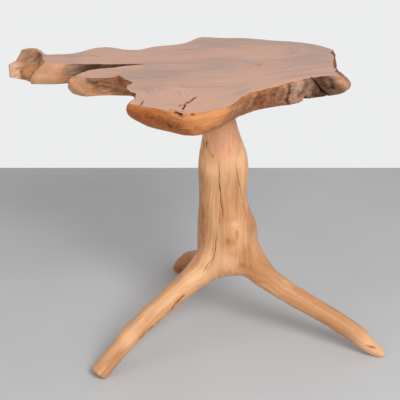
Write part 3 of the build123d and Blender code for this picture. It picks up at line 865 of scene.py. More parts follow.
def make_slab(settings):
    """The slab: live-edge walls with their finish, a cracked top, and the plate's recess."""
    grid, finish, fibres, relief, dent_shade, ridge_wear_and_highlight = wall_of_slab(settings)
    layers = eased_layers(grid, settings.edge_ease)
    points, faces, under_faces = slab_body(layers, settings.top_step)
    layer_count, count = layers.shape[:2]
    edge_count = layer_count * count
    wall_part = slice(count, (WALL_ROWS + 1) * count)
    shoulder_part = slice(wall_part.stop, wall_part.stop + count)

    masks = {name: np.zeros(len(points)) for name in FINISHES + ("relief", "rim")}
    for name, values in zip(FINISHES, finish.T):
        masks[name][:edge_count] = np.tile(values, layer_count)
    live = np.zeros(len(points))
    live[wall_part] = 1
    live[shoulder_part] = 0.6
    # This mask holds dark wood and the knot's eye, and painted shade in the cracks of the top and in the
    # dents and clefts of the wall.
    sink_cracks(points, live, masks["dark"])
    # Painted shade in the dents and clefts of the wall.
    masks["dark"][wall_part] = np.maximum(masks["dark"][wall_part], dent_shade)
    masks["dark"] = np.maximum(masks["dark"], glow_round(points, [BLOCK_EYE]))
    # Wear and painted highlight on the ridges of the wall.
    masks["pale"][wall_part] = np.maximum(masks["pale"][wall_part], ridge_wear_and_highlight)
    masks["relief"][wall_part] = relief
    masks["rim"][shoulder_part.start:edge_count] = 1
    masks["live"] = live
    masks["mottle"] = glow_round(points, LIP_PATCHES)
    masks["glaze"] = glow_round(points, LIP_GLAZE)
    masks["bark"] = glow_round(points, BARK_PATCHES)
    # Warmer wood, less the greyer places, which partly stand for painted sheen.
    masks["warm"] = glow_round(points, WARM_PLACES) - glow_round(points, GREY_AND_SHEEN_PLACES)
    masks["sawn"] = end_block_mask(points)
    masks["sap"] = bell(distance_to_line(points[:, :2], SAP_LINE), SAP_WIDTH)
    masks["grain"] = grain_of_slab(points)
    masks["grain"][wall_part] = fibres
    masks["grain"][shoulder_part] = fibres[-count:]
    piece = mesh_object("slab", points, faces)
    smooth = np.ones(len(faces), bool)
    smooth[-under_faces:] = False
    piece.data.polygons.foreach_set("use_smooth", smooth)
    for name, values in masks.items():
        set_attribute(piece, name, values)
    return piece


def end_block_face():
    """The sawn face: its front left corner, the way along it, its length, the way out and its top."""
    corner, end = np.array(BLOCK_FACE) * (SLAB_LENGTH, SLAB_DEPTH)
    span = np.linalg.norm(end - corner)
    side = (end - corner) / span
    return corner, side, span, np.array((side[1], -side[0])), SLAB_LOW.z + BLOCK_HEIGHT * SLAB_THICKNESS


def shape_end_block(grid, nearby):
    """Pushes the low part of the hollow's wall out to the sawn block's face and blends it in beside."""
    corner, side, span, face_out, height = end_block_face()
    for row in grid:
        share = (row[0, 2] - SLAB_LOW.z) / SLAB_THICKNESS
        from_corner = row[:, :2] - corner
        along, depth = from_corner @ side, from_corner @ face_out
        behind = (depth < 0.004) & nearby
        hit = (along > 0) & (along < span) & behind
        at_corner = hit & (along > span - 0.006)
        if not at_corner.any():
            continue
        gap = -depth[at_corner].max()
        swell = (1 - smooth_step(np.abs(along - span), 0, BLOCK_BLEND)) * behind * (along > 0)
        swell *= 1 - smooth_step(np.array(share), 0.30, 0.95)
        moved = row[:, :2] + (swell * gap)[:, None] * face_out
        if row[0, 2] <= height:
            moved[hit] = row[hit, :2] - depth[hit, None] * face_out
        row[:, :2] = moved


def end_block_mask(points):
    """The sawn face of the end block."""
    corner, side, span, face_out, height = end_block_face()
    from_corner = points[:, :2] - corner
    along, depth = from_corner @ side, from_corner @ face_out
    border = 0.004 * lumps(points, 0.012, 24)
    face = smooth_step(along, 0.001, 0.006) * (1 - smooth_step(along + border, span - 0.008, span + 0.006))
    return face * (1 - smooth_step(np.abs(depth), 0.004, 0.010)) * (points[:, 2] < height + 0.003)


def recess_profile():
    """Radius and height of each ring of the plate's recess and the screw head's pocket."""
    radius = (PLATE_HIGH.x - PLATE_LOW.x) / 2 + PLATE_PLAY
    return [
        (radius, SLAB_LOW.z),
        (radius, PLATE_HIGH.z),
        (POCKET_RADIUS, PLATE_HIGH.z),
        (POCKET_RADIUS, PLATE_HIGH.z + POCKET_DEPTH),
    ]


def top_points(rim, step):
    """Points inside the rim: an even net, and a fine one along the cracks."""
    net = net_inside(rim, step)
    near = np.full(len(net), np.inf)
    fine = []
    for line, width, _ in TOP_CRACKS:
        near = np.minimum(near, distance_to_line(net, line))
        for start, end in zip(line[:-1], line[1:]):
            start, end = np.array(start), np.array(end)
            length = np.linalg.norm(end - start)
            side = np.array((start[1] - end[1], end[0] - start[0])) / length
            count = round(length / CRACK_SPACING)
            for share in np.arange(0.5, count) / count:
                fine += [start + (end - start) * share + side * offset * width for offset in CRACK_ROWS]
    return np.concatenate([net[near > CRACK_CLEARANCE], clear_of(np.array(fine), rim)])


def sink_cracks(points, live, dark):
    """Sinks the cracks into the top and gives it the slight waves of a hand-sanded face."""
    face = (points[:, 2] > SLAB_HIGH.z - 1e-6) & (live < 0.5)
    plan = points[face] * (1, 1, 0)
    drop = 0.00035 * (lumps(plan, 0.09, 21) - 1) + 0.00015 * (lumps(plan, 0.03, 22) - 1)
    shade = np.zeros(len(plan))
    for line, width, depth in TOP_CRACKS:
        far = distance_to_line(plan[:, :2], line)
        wander = width * (1 + 0.3 * lumps(plan, 0.006, 23))
        groove = np.clip(1 - far / (1.5 * wander), 0, 1)
        drop -= depth * groove**0.7
        shade = np.maximum(shade, smooth_step(groove, 0.05, 0.5))
    points[face, 2] += drop
    dark[face] = shade


def from_hub(points):
    """Places in plan, seen from the middle of the stem."""
    return points[:, :2] - np.array(HUB[:2])


def toward(angle):
    """The way in plan that an angle in degrees points."""
    return np.array((math.cos(math.radians(angle)), math.sin(math.radians(angle))))


def leg_frames(points):
    """For each leg, how much each point belongs to it and its place in that leg's wood."""
    flat = from_hub(points)
    frames = []
    for reach, angle, line in LEGS:
        out = toward(angle)
        side = np.array((-out[1], out[0]))
        way, offset = flat @ out, flat @ side
        line = np.array(line) * (reach, 1)
        height = np.interp(way, line[:, 0], line[:, 1])
        above = points[:, 2] - height
        lengths = np.r_[0, np.cumsum(np.linalg.norm(np.diff(line, axis=0), axis=1))]
        travelled = np.interp(way - above * 0.45, line[:, 0], lengths)
        nearness = way / np.maximum(np.hypot(way, offset), 1e-6)
        weight = smooth_step(way, 0.045, 0.120) * smooth_step(nearness, 0.45, 0.85)
        unbent = np.c_[
            HUB.x + side[0] * offset + out[0] * (0.055 + above),
            HUB.y + side[1] * offset + out[1] * (0.055 + above),
            STEM_CROTCH_HEIGHT + 0.08 - travelled,
        ]
        frames.append((weight, unbent))
    return frames


def grain_of_stem(points):
    """Place of each point in the wood, whose third number runs down the trunk and out along each leg."""
    grain = points.copy()
    for weight, unbent in leg_frames(points):
        grain += (unbent - points) * weight[:, None]
    grain[:, :2] += 0.004 * np.stack([lumps(grain, (0.1, 0.1, 0.25), seed) for seed in (31, 32)], axis=1)
    return grain


def neighbour_mean(values, edges, count):
    """Mean of the values at each vertex's neighbours."""
    a, b = edges[:, 0], edges[:, 1]
    size = len(count)
    columns = [np.bincount(a, value[b], size) + np.bincount(b, value[a], size) for value in values.T]
    return np.stack(columns, axis=1) / count[:, None]


def relaxed(places, edges, rounds, share):
    """The places, moved towards the mean of their neighbours a number of times."""
    count = np.maximum(np.bincount(edges.ravel(), minlength=len(places)), 1)
    for _ in range(rounds):
        places = places + (neighbour_mean(places, edges, count) - places) * share
    return places


def stem_without_holes():
    """A merged copy of the stem's solid, with its screw holes closed."""
    body = bmesh.new()
    body.from_mesh(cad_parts["tripod_base"].data)
    bmesh.ops.remove_doubles(body, verts=body.verts, dist=1e-5)
    bored = [v for v in body.verts if v.co.z > HOLE_FLOOR and (v.co.xy - SEAT.xy).length < HOLE_REACH]
    bmesh.ops.delete(body, geom=bored, context="VERTS")
    bmesh.ops.holes_fill(body, edges=[e for e in body.edges if e.is_boundary], sides=0)
    mesh = bpy.data.meshes.new("stem")
    body.to_mesh(mesh)
    body.free()
    return mesh


def blend_legs(skin, rounds):
    """Blends the skin's legs into its trunk, and gives it the crotch, the arches and the sag."""
    places = vertex_array(skin)
    edges = np.zeros(len(skin.edges) * 2, int)
    skin.edges.foreach_get("vertices", edges)
    edges = edges.reshape(-1, 2)
    places = relaxed(places, edges, 2, 0.5)
    far = np.linalg.norm(from_hub(places), axis=1)
    crotch = smooth_step(places[:, 2], 0.10, 0.16) * (1 - smooth_step(places[:, 2], 0.34, 0.44))
    crotch *= 1 - smooth_step(far, 0.15, 0.21)
    belly = (1 - smooth_step(far, 0.055, 0.085)) * (1 - smooth_step(places[:, 2], 0.20, 0.26))
    for _ in range(2):
        move_vertices(skin, places)
        normals = vertex_array(skin, "normal")
        shift = relaxed(places, edges, rounds, 0.5) - places
        filled = smooth_step((shift * normals).sum(axis=1), 0, 0.8 * MM)
        places = places + shift * (np.maximum(filled * crotch, 0.6 * belly))[:, None]
        places = relaxed(places, edges, 8, 0.5 * crotch[:, None])
    places[:, 2] += arch_lift(places) - rear_leg_drop(places)
    corners, middle = glow_round(places, CROTCH_CORNERS), glow_round(places, [CROTCH_MIDDLE])
    places[:, 2] -= CROTCH_DROP * corners + CROTCH_DROP * middle
    move_vertices(skin, places)


def stem_relief(places, grain, tip, lines):
    """How far the stem's surface stands out at each place, and how open its cracks are there, which sets
    their painted shade.
    """
    push = 0.0019 * lumps(places, (0.040, 0.040, 0.060), 41)
    push += 0.0007 * lumps(grain, (0.016, 0.016, 0.120), 42)
    push += 0.00025 * lumps(grain, (0.005, 0.005, 0.060), 43)
    push += tip * 0.0026 * (0.3 - np.abs(lumps(places, 0.009, 45)))
    crack = np.zeros(len(places))
    for line, (_, width, depth) in zip(lines, STEM_CRACKS):
        far, taper = distance_to_line(places, line, taper=True)
        wide = 1.6 * width * (0.25 + 0.75 * taper) * (1 + 0.5 * lumps(places, 0.010, 44))
        groove = np.clip(1 - far / wide, 0, 1)
        push -= depth * taper * groove**0.8
        crack = np.maximum(crack, smooth_step(groove, 0.05, 0.6) * (0.35 + 0.65 * taper))
    for start, end, width, depth in STEM_DENTS:
        push -= depth * bell(distance_to_line(places, [start, end]), width)
    push[(places[:, 2] > STEM_TOP - 2 * MM) | (places[:, 2] < 1 * MM)] = 0
    return push, crack


def make_stem(settings):
    """The stem and its legs: one skin, hollowed smoothly at the crotch, with grain and cracks."""
    piece = new_object("stem", stem_without_holes())
    remesh = piece.modifiers.new("Skin", "REMESH")
    remesh.mode = "VOXEL"
    remesh.voxel_size = settings.skin_step
    apply_modifiers(piece)
    skin = piece.data
    blend_legs(skin, settings.crotch_rounds)
    refine_along_cracks(skin)
    places, normals = vertex_array(skin), vertex_array(skin, "normal")
    grain, tip = grain_of_stem(places), glow_round(places, [TIP_PLACE])
    tree = face_tree(skin)
    push, crack = stem_relief(places, grain, tip, [snap(line, tree) for line, _, _ in STEM_CRACKS])
    places += normals * push[:, None]
    places[:, 2] = np.clip(places[:, 2], 0, STEM_TOP)
    move_vertices(skin, places)
    skin.shade_smooth()
    # Pale places and the worn tip: pale wood and painted highlight.
    light = np.maximum(tip, glow_round(places, PALE_AND_HIGHLIT_PLACES))
    for name, values in (
        ("grain", grain), ("crack", crack), ("heart", heart_mask(places)), ("stain", stain_mask(places)),
        ("sawn", sawn_mask(places, normals)), ("light", light), ("deep", glow_round(places, DEEPER_AND_SHADED_PLACES)),
    ):
        set_attribute(piece, name, values)
    return piece


def arch_lift(places):
    """How far the underside rises into an arch between each pair of legs."""
    flat = from_hub(places)
    turn = np.degrees(np.arctan2(flat[:, 1], flat[:, 0])) % 360
    angles = sorted(angle for _, angle, _ in LEGS)
    between = np.zeros(len(places))
    for start, end in zip(angles, angles[1:] + [angles[0] + 360]):
        share = ((turn - start) % 360) / (end - start)
        between += np.where(share < 1, np.sin(np.clip(share, 0, 1) * math.pi) ** 1.5, 0)
    far = np.linalg.norm(flat, axis=1)
    window = smooth_step(far, 0.010, 0.045) * (1 - smooth_step(far, 0.09, 0.16))
    return ARCH_RISE * between * window * (1 - smooth_step(places[:, 2], 0.20, 0.31))


def rear_leg_drop(places):
    """How far the rear leg sags below its plain line, between the trunk and its middle."""
    flat = from_hub(places)
    way = flat @ toward(LEGS[2][1])
    nearness = way / np.maximum(np.linalg.norm(flat, axis=1), 1e-6)
    window = smooth_step(way, 0.08, 0.17) * (1 - smooth_step(way, 0.19, 0.29))
    return REAR_LEG_SAG * window * smooth_step(nearness, 0.5, 0.85)


def face_tree(mesh):
    """The mesh's faces, for finding the nearest one."""
    return BVHTree.FromPolygons([v.co for v in mesh.vertices], [tuple(p.vertices) for p in mesh.polygons])


def snap(line, tree):
    """The line's points, filled in between and moved onto the nearest faces."""
    points = []
    for start, end in zip(line[:-1], line[1:]):
        start, end = Vector(start), Vector(end)
        steps = max(2, round((end - start).length / SNAP_SPACING))
        points += [start.lerp(end, i / steps) for i in range(steps)]
    points.append(Vector(line[-1]))
    wander = CRACK_WANDER * lumps(np.array(points), 0.012, 51)
    return [tuple(tree.find_nearest(p + Vector((w, 0, 0)))[0]) for p, w in zip(points, wander)]


def refine_along_cracks(skin):
    """Splits the skin's faces near each crack, so that its groove is cut finely."""
    tree = face_tree(skin)
    lines = [(snap(line, tree), width) for line, width, _ in STEM_CRACKS]
    body = bmesh.new()
    body.from_mesh(skin)
    for margin in FINE_MARGINS:
        body.verts.ensure_lookup_table()
        places = np.array([v.co for v in body.verts])
        near = np.zeros(len(places), bool)
        for line, width in lines:
            near |= distance_to_line(places, line) < margin + width
        close = [e for e in body.edges if near[e.verts[0].index] and near[e.verts[1].index]]
        bmesh.ops.subdivide_edges(body, edges=close, cuts=1, use_grid_fill=True)
        body.verts.index_update()
    bmesh.ops.triangulate(body, faces=[f for f in body.faces if len(f.verts) > 4])
    bmesh.ops.recalc_face_normals(body, faces=body.faces)
    body.to_mesh(skin)
    body.free()
    skin.update()


def heart_mask(places):
    """Redder heartwood at the neck, above an uneven U-shaped border."""
    from_middle = np.abs(places[:, 0] - 0.055) / 0.037
    border = 0.531 + 0.010 * lumps(places, (0.02, 0.02, 0.04), 61) + 0.06 * from_middle**6
    return smooth_step(places[:, 2], border - 0.006, border + 0.006)


def stain_mask(places):
    """Brown stains with streaky borders."""
    streaky = np.clip(0.75 + 0.8 * lumps(places, (0.007, 0.007, 0.030), 62), 0, 1)
    stain = glow_round(places, STEM_STAINS)
    for line, width in STEM_STREAKS:
        far, taper = distance_to_line(places, line, taper=True)
        stain = np.maximum(stain, taper * bell(far, width))
    return stain * streaky


def sawn_mask(places, normals):
    """The sawn ends of the feet."""
    sawn = np.zeros(len(places))
    for reach, angle, _ in LEGS:
        out = np.r_[toward(angle), -0.9]
        out /= np.linalg.norm(out)
        far = from_hub(places) @ out[:2] / np.linalg.norm(out[:2])
        end = smooth_step(far, reach * 0.93, reach * 0.95) * smooth_step(normals @ out, 0.80, 0.93)
        sawn = np.maximum(sawn, end)
    return sawn


class NodeBuilder:
    """Adds nodes to a tree and joins them."""

    def __init__(self, tree):
        self.tree = tree

    def give(self, node, values):
        """Sets the node's inputs, and links those whose value is another node's output."""
        for socket, value in dict(values).items():
            if isinstance(value, bpy.types.NodeSocket):
                self.tree.links.new(value, node.inputs[socket])
            else:
                node.inputs[socket].default_value = value

    def add(self, kind, values=(), **settings):
        """A new node with its settings and its inputs."""
        node = self.tree.nodes.new(kind)
        for name, value in settings.items():
            setattr(node, name, value)
        self.give(node, values)
        return node

    def math(self, operation, first, second=0.0, clamp=False):
        """One sum, product or comparison."""
        node = self.add("ShaderNodeMath", {0: first, 1: second}, operation=operation, use_clamp=clamp)
        return node.outputs[0]

    def times(self, first, second, clamp=False):
        """The product of two values."""
        return self.math("MULTIPLY", first, second, clamp)

    def plus(self, first, second, clamp=False):
        """The sum of two values."""
        return self.math("ADD", first, second, clamp)

    def minus(self, first, second, clamp=False):
        """The difference of two values."""
        return self.math("SUBTRACT", first, second, clamp)

    def larger(self, first, second):
        """The larger of two values."""
        return self.math("MAXIMUM", first, second)

    def stretched(self, vector, scale):
        """A place with each axis scaled by itself."""
        node = self.add("ShaderNodeVectorMath", {0: vector, 1: scale}, operation="MULTIPLY")
        return node.outputs[0]

    def noise(self, vector, scale, detail=3.0, roughness=0.5, distortion=0.0):
        """Smooth noise from 0 to 1."""
        values = {
            "Vector": vector, "Scale": scale, "Detail": detail,
            "Roughness": roughness, "Distortion": distortion,
        }
        return self.add("ShaderNodeTexNoise", values).outputs["Fac"]

    def streaks(self, grain, run, *noise):
        """Noise drawn out along the grain, whose third axis is scaled by run."""
        return self.noise(self.stretched(grain, (1, 1, run)), *noise)

    def spread(self, value, low, high, new_low=0.0, new_high=1.0):
        """A value, mapped from one range to another and kept within it."""
        values = {"Value": value, "From Min": low, "From Max": high, "To Min": new_low, "To Max": new_high}
        return self.add("ShaderNodeMapRange", values).outputs["Result"]

    def mix(self, share, first, second, blend="MIX"):
        """The first colour at a share of 0, and the second one at 1."""
        values = {0: share, 6: first, 7: second}
        return self.add("ShaderNodeMix", values, data_type="RGBA", blend_type=blend).outputs[2]

    def cover(self, base, colour, mask, strength=None):
        """The base with a colour over it, where the mask shows."""
        return self.mix(mask if strength is None else self.times(mask, strength), base, colour)

    def shade(self, colour, value):
        """A colour made darker or lighter by a value."""
        grey = self.add("ShaderNodeCombineColor", {0: value, 1: value, 2: value})
        return self.mix(1.0, colour, grey.outputs[0], "MULTIPLY")

    def bump(self, height, distance, strength):
        """Surface normals from a height."""
        values = {"Height": height, "Distance": distance, "Strength": strength}
        return self.add("ShaderNodeBump", values).outputs["Normal"]

    def place(self):
        """The place on the piece, in metres."""
        return self.add("ShaderNodeTexCoord").outputs["Object"]

    def attribute(self, name, output="Fac"):
        """A value that the mesh carries."""
        return self.add("ShaderNodeAttribute", attribute_name=name).outputs[output]

    def masks(self, names):
        """Several such values, from their names with a space between them."""
        return [self.attribute(name) for name in names.split()]

    def group(self, name, values):
        """The outputs of a shared group, placed here with its own values."""
        return self.add("ShaderNodeGroup", values, node_tree=shared_group(name)).outputs

    def blotches(self, place, scale, cover, softness):
        """Blotches of the given size that cover a share of the surface."""
        values = {"Vector": place, "Scale": scale, "Cover": cover, "Softness": softness}
        return self.group("Mottling", values)["Mask"]

    def fine_grain(self, wood, low, high, pores):
        """Shade of the fibres, darker in the pores."""
        return self.minus(self.spread(wood["Fibre"], 0.2, 0.8, low, high), self.times(wood["Pores"], pores))


def new_group(name, inputs, outputs):
    """A shader group's builder, its inputs and its output node. An input with no value is a place."""
    group = bpy.data.node_groups.new(name, "ShaderNodeTree")
    for label, default in inputs.items():
        kind = "NodeSocketVector" if default is None else "NodeSocketFloat"
        socket = group.interface.new_socket(label, in_out="INPUT", socket_type=kind)
        if default is not None:
            socket.default_value = default
    for label in outputs:
        group.interface.new_socket(label, in_out="OUTPUT", socket_type="NodeSocketFloat")
    make = NodeBuilder(group)
    return make, make.add("NodeGroupInput").outputs, make.add("NodeGroupOutput")


def wood_grain_group():
    """Streaks, rings, fibres and pores of wood, from the place in the wood."""
    make, given, target = new_group(
        "Wood Grain",
        {"Grain": None, "Streak Scale": 45.0, "Ring Scale": 26.0, "Fibre Scale": 420.0},
        ("Streak", "Ring", "Fibre", "Pores", "Height"),
    )
    grain = given["Grain"]
    wave = make.add(
        "ShaderNodeTexWave",
        {"Vector": make.stretched(grain, (1, 1, 0.08)), "Scale": given["Ring Scale"], "Distortion": 5.0,
         "Detail": 3.0, "Detail Scale": 1.4, "Detail Roughness": 0.6},
        wave_type="BANDS", bands_direction="X", wave_profile="SAW",
    )
    fibre = make.streaks(grain, 0.035, given["Fibre Scale"], 3, 0.6, 0.2)
    pores = make.spread(make.streaks(grain, 0.07, 1100.0, 1, 0.5), 0.62, 0.74)
    make.give(target, {
        "Streak": make.streaks(grain, 0.10, given["Streak Scale"], 5, 0.6, 0.4),
        "Ring": wave.outputs["Fac"],
        "Fibre": fibre,
        "Pores": pores,
        "Height": make.minus(make.times(fibre, 0.6), make.times(pores, 0.8)),
    })
    return make.tree


def mottling_group():
    """Blotches with soft uneven edges."""
    make, given, target = new_group(
        "Mottling", {"Vector": None, "Scale": 60.0, "Cover": 0.5, "Softness": 0.06}, ["Mask"]
    )
    noise = make.noise(given["Vector"], given["Scale"], 5, 0.62, 0.7)
    edge = make.minus(1.0, given["Cover"])
    low, high = make.minus(edge, given["Softness"]), make.plus(edge, given["Softness"])
    make.give(target, {"Mask": make.spread(noise, low, high)})
    return make.tree


def shared_group(name):
    """A shader group that the materials share, built when it is first asked for."""
    makers = {"Wood Grain": wood_grain_group, "Mottling": mottling_group}
    return bpy.data.node_groups.get(name) or makers[name]()


def new_material(name):
    """A node material with its Principled shader."""
    material = bpy.data.materials.new(name)
    material.use_nodes = True
    return material, NodeBuilder(material.node_tree), material.node_tree.nodes["Principled BSDF"]


def slab_material(settings):
    """Satin oiled root wood: figured top, and a live edge that runs from bark to orange sapwood."""
    material, make, shader = new_material("Figured Root Wood")
    place, grain = make.place(), make.attribute("grain", "Vector")
    live, rough, burl, lip, dark, pale = make.masks("live rough burl lip dark pale")
    relief, mottle, glaze, grey_bark = make.masks("relief mottle glaze bark")
    warm, sawn, rim, sap = make.masks("warm sawn rim sap")
    wood = make.group("Wood Grain", {
        "Grain": grain, "Streak Scale": 62.0, "Ring Scale": 30.0, "Fibre Scale": 430.0,
    })
    zone = make.plus(make.streaks(grain, 0.35, 14.0, 3, 0.5, 0.6), make.times(warm, 0.16))
    face = make.mix(make.spread(zone, 0.38, 0.62), settings.top_dark, settings.top_colour)
    face = make.cover(face, settings.top_streak, make.spread(wood["Streak"], 0.42, 0.74))
    face = make.cover(face, settings.top_streak, warm, 0.25)
    # Greyer in the grey places, partly the painted sheen of the satin top.
    face = make.cover(face, settings.top_dark, warm, -0.45)
    face = make.cover(face, settings.sap_colour, sap, 0.8)
    face = make.shade(face, make.spread(wood["Ring"], 0.0, 1.0, 0.86, 1.07))

    figure = make.spread(wood["Streak"], 0.36, 0.64)
    fibrous = make.streaks(grain, 0.20, 210.0, 5, 0.72, 0.5)
    lumpy = make.noise(place, 58.0, 5, 0.65, 0.5)
    blotch = make.blotches(place, 95.0, 0.34, 0.07)
    specks = make.blotches(place, 230.0, 0.50, 0.08)
    speckled = make.larger(
        make.times(specks, make.spread(mottle, 0.15, 0.75, 0.05, 0.95)),
        make.times(blotch, make.spread(mottle, 0.0, 0.6, 0.10, 0.75)),
    )
    orange = make.mix(figure, settings.lip_deep, settings.lip_colour)
    orange = make.cover(orange, settings.lip_brown, glaze, 0.75)
    orange = make.cover(orange, settings.lip_mottling, speckled)
    bark = make.mix(figure, settings.edge_deep, settings.edge_colour)
    bark = make.cover(bark, settings.edge_pale_and_highlight, make.spread(lumpy, 0.50, 0.60, 0.0, 0.40))
    reds = make.larger(make.times(blotch, 0.4), make.times(speckled, 1.2))
    bark = make.cover(bark, settings.edge_red, reds)
    tan = make.spread(wood["Streak"], 0.28, 0.58, 0.35, 1.0)
    tan = make.mix(tan, settings.edge_colour, settings.edge_pale_and_highlight)
    burled = make.mix(make.spread(lumpy, 0.40, 0.57), settings.burl_deep, settings.burl_colour)
    folds = make.math("ABSOLUTE", make.minus(make.noise(place, 65.0, 3, 0.6, 1.8), 0.5))
    burled = make.cover(burled, settings.burl_deep, make.spread(folds, 0.0, 0.045, 0.85, 0.0))
    wall = make.mix(lip, bark, orange)
    # Pale wood, with painted highlight on the lit noses and the dome.
    wall = make.mix(pale, wall, tan)
    wall = make.mix(burl, wall, burled)
    patches = make.times(grey_bark, make.spread(fibrous, 0.38, 0.56, 0.35, 1.0))
    wall = make.cover(wall, settings.bark_grey, patches, 0.85)
    # The sawn face is brightened past the wood's own tone, painted light on a face that the lamps light
    # less.
    wall = make.cover(wall, settings.sawn_and_lit_colour, sawn, 0.9)
    streaked = make.shade(wall, make.spread(fibrous, 0.32, 0.68, 0.62, 1.32))
    wall = make.mix(make.spread(rough, 0.0, 0.8, 0.35, 1.0), wall, streaked)
    # Painted highlight on the raised parts of the relief.
    wall = make.cover(wall, settings.edge_pale_and_highlight, make.times(relief, 0.30, clamp=True), rough)

    # Painted shade: dark wood, the cracks, dents and clefts go towards the shade colour.
    cloudy = make.spread(make.noise(place, 60.0, 4, 0.65, 0.4), 0.30, 0.58, 0.50, 1.0)
    painted_shade_and_dark_wood = make.larger(make.times(dark, cloudy), make.math("POWER", dark, 5.0))
    # Painted shade in the hollows of the relief.
    painted_shade_and_dark_wood = make.larger(painted_shade_and_dark_wood, make.times(relief, -0.55, clamp=True))
    # Painted highlight, with some wear, along the eased rim of the top.
    worn_and_highlit = make.spread(make.noise(place, 30.0, 2), 0.42, 0.58, 0.0, 0.6)
    colour = make.mix(live, face, wall)
    colour = make.cover(colour, settings.edge_pale_and_highlight, rim, worn_and_highlit)
    colour = make.cover(colour, settings.shade_and_dark_wood_colour, painted_shade_and_dark_wood)
    colour = make.shade(colour, make.fine_grain(wood, 0.90, 1.06, 0.16))

    dull = make.times(rough, live)
    sheen = make.plus(settings.top_roughness, make.times(dull, 0.22))
    sheen = make.plus(sheen, make.times(wood["Streak"], 0.10))
    grit = make.times(make.noise(place, 260.0, 5, 0.7), make.plus(make.times(dull, 3.0), 0.1))
    make.give(shader, {
        "Base Color": colour,
        "Roughness": make.plus(sheen, make.times(dark, 0.2), clamp=True),
        "Coat Weight": make.spread(live, 0.0, 1.0, 0.12, 0.0),
        "Coat Roughness": 0.22,
        "Specular IOR Level": make.spread(live, 0.0, 1.0, 0.5, 0.22),
        "Normal": make.bump(make.plus(wood["Height"], grit), 0.0006, 0.45),
    })
    return material


def stem_material(settings):
    """Paler satin wood with lengthwise grain, a redder heart at the neck and open cracks; painted shade
    fills the cracks and deeper places, and painted highlight the pale places.
    """
    material, make, shader = new_material("Pale Root Wood")
    place, grain = make.place(), make.attribute("grain", "Vector")
    crack, heart, stain, sawn, light, deep = make.masks("crack heart stain sawn light deep")
    wood = make.group("Wood Grain", {
        "Grain": grain, "Streak Scale": 48.0, "Ring Scale": 15.0, "Fibre Scale": 420.0,
    })
    # Darker in the deeper places, which are partly painted shade.
    zone = make.minus(make.streaks(grain, 0.25, 16.0, 3, 0.5, 0.5), make.times(deep, 0.22))
    colour = make.mix(make.spread(zone, 0.36, 0.64), settings.stem_deep, settings.stem_colour)
    pale = make.minus(make.spread(wood["Streak"], 0.42, 0.85), deep, clamp=True)
    colour = make.cover(colour, settings.stem_pale, pale)
    colour = make.shade(colour, make.spread(wood["Ring"], 0.0, 1.0, 0.88, 1.05))
    veins = make.spread(make.streaks(grain, 0.045, 130.0, 3, 0.6, 0.3), 0.58, 0.70, 0.0, 0.45)
    for laid, mask, strength in (
        (settings.heart_colour, heart, 0.75),
        (settings.stem_stain, make.blotches(place, 45.0, 0.33, 0.08), 0.22),
        (settings.stem_stain, veins, None),
        (settings.stem_stain, sawn, 0.25),
        # Pale wood and painted highlights, and the worn tip.
        (settings.stem_pale, light, 0.75),
        (settings.stem_stain, stain, 0.9),
        # Painted shade inside the cracks.
        (settings.crack_shade_colour, crack, 0.85),
    ):
        colour = make.cover(colour, laid, mask, strength)
    sheen = make.plus(settings.stem_roughness, make.times(wood["Streak"], 0.14))
    make.give(shader, {
        "Base Color": make.shade(colour, make.fine_grain(wood, 0.91, 1.05, 0.14)),
        "Roughness": make.plus(sheen, make.times(crack, 0.3), clamp=True),
        "Specular IOR Level": 0.35,
        "Coat Weight": 0.08,
        "Coat Roughness": 0.25,
        "Normal": make.bump(wood["Height"], 0.0005, 0.4),
    })
    return material


def steel_material(name, colour, roughness, metallic, brushed):
    """Plated or painted steel with light handling marks."""
    material, make, shader = new_material(name)
    place = make.place()
    marks = make.blotches(place, 90.0, 0.45, 0.15)
    worn_and_highlit = tuple(min(1.0, c * 1.25 + 0.01) for c in colour[:3]) + (1.0,)
    lines = make.noise(make.stretched(place, brushed), 600.0, 2, 0.5)
    make.give(shader, {
        "Base Color": make.cover(colour, worn_and_highlit, marks, 0.5),
        "Roughness": make.plus(roughness, make.times(make.plus(lines, marks), 0.10)),
        "Metallic": metallic,
        "Normal": make.bump(lines, 0.0001, 0.3),
    })
    return material


def colour_setting(name, description, default):
    """A colour that the user can change."""
    return FloatVectorProperty(
        name=name, description=description, default=default + (1.0,), size=4, subtype="COLOR", min=0, max=1
    )


def number_setting(name, description, default, least=0, **more):
    """A number that the user can change."""
    return FloatProperty(name=name, description=description, default=default, min=least, **more)


def length_setting(name, description, default, least):
    """A length that the user can change."""
    return number_setting(name, description, default, least, unit="LENGTH")


class StageSettings(bpy.types.PropertyGroup):
    """Camera, floor and light"""

    camera_place: FloatVectorProperty(
        name="Camera place", description="Where the camera stands", default=(-0.003, -2.041, 1.382),
        size=3, subtype="XYZ", unit="LENGTH")
    camera_dip: FloatProperty(
        name="Camera dip", description="How far the camera looks down", default=math.radians(26),
        subtype="ANGLE", unit="ROTATION")
    camera_lens: number_setting("Lens", "Focal length on a 36 mm film", 81.0, 10)
    floor_colour: colour_setting("Floor", "Colour of the floor near the table", (0.52, 0.525, 0.53))
    backdrop_colour: colour_setting("Backdrop", "Colour behind the floor", (0.84, 0.845, 0.85))
    floor_size: FloatVectorProperty(
        name="Floor size", description="Width and depth of the floor", default=(3.6, 2.14),
        size=2, unit="LENGTH")
    key_power: number_setting("Key light", "Power of the large front light", 72.0)
    fill_power: number_setting("Fill light", "Power of the side light", 10.0)
    sky_strength: number_setting("Room light", "Even light from all sides", 0.50)


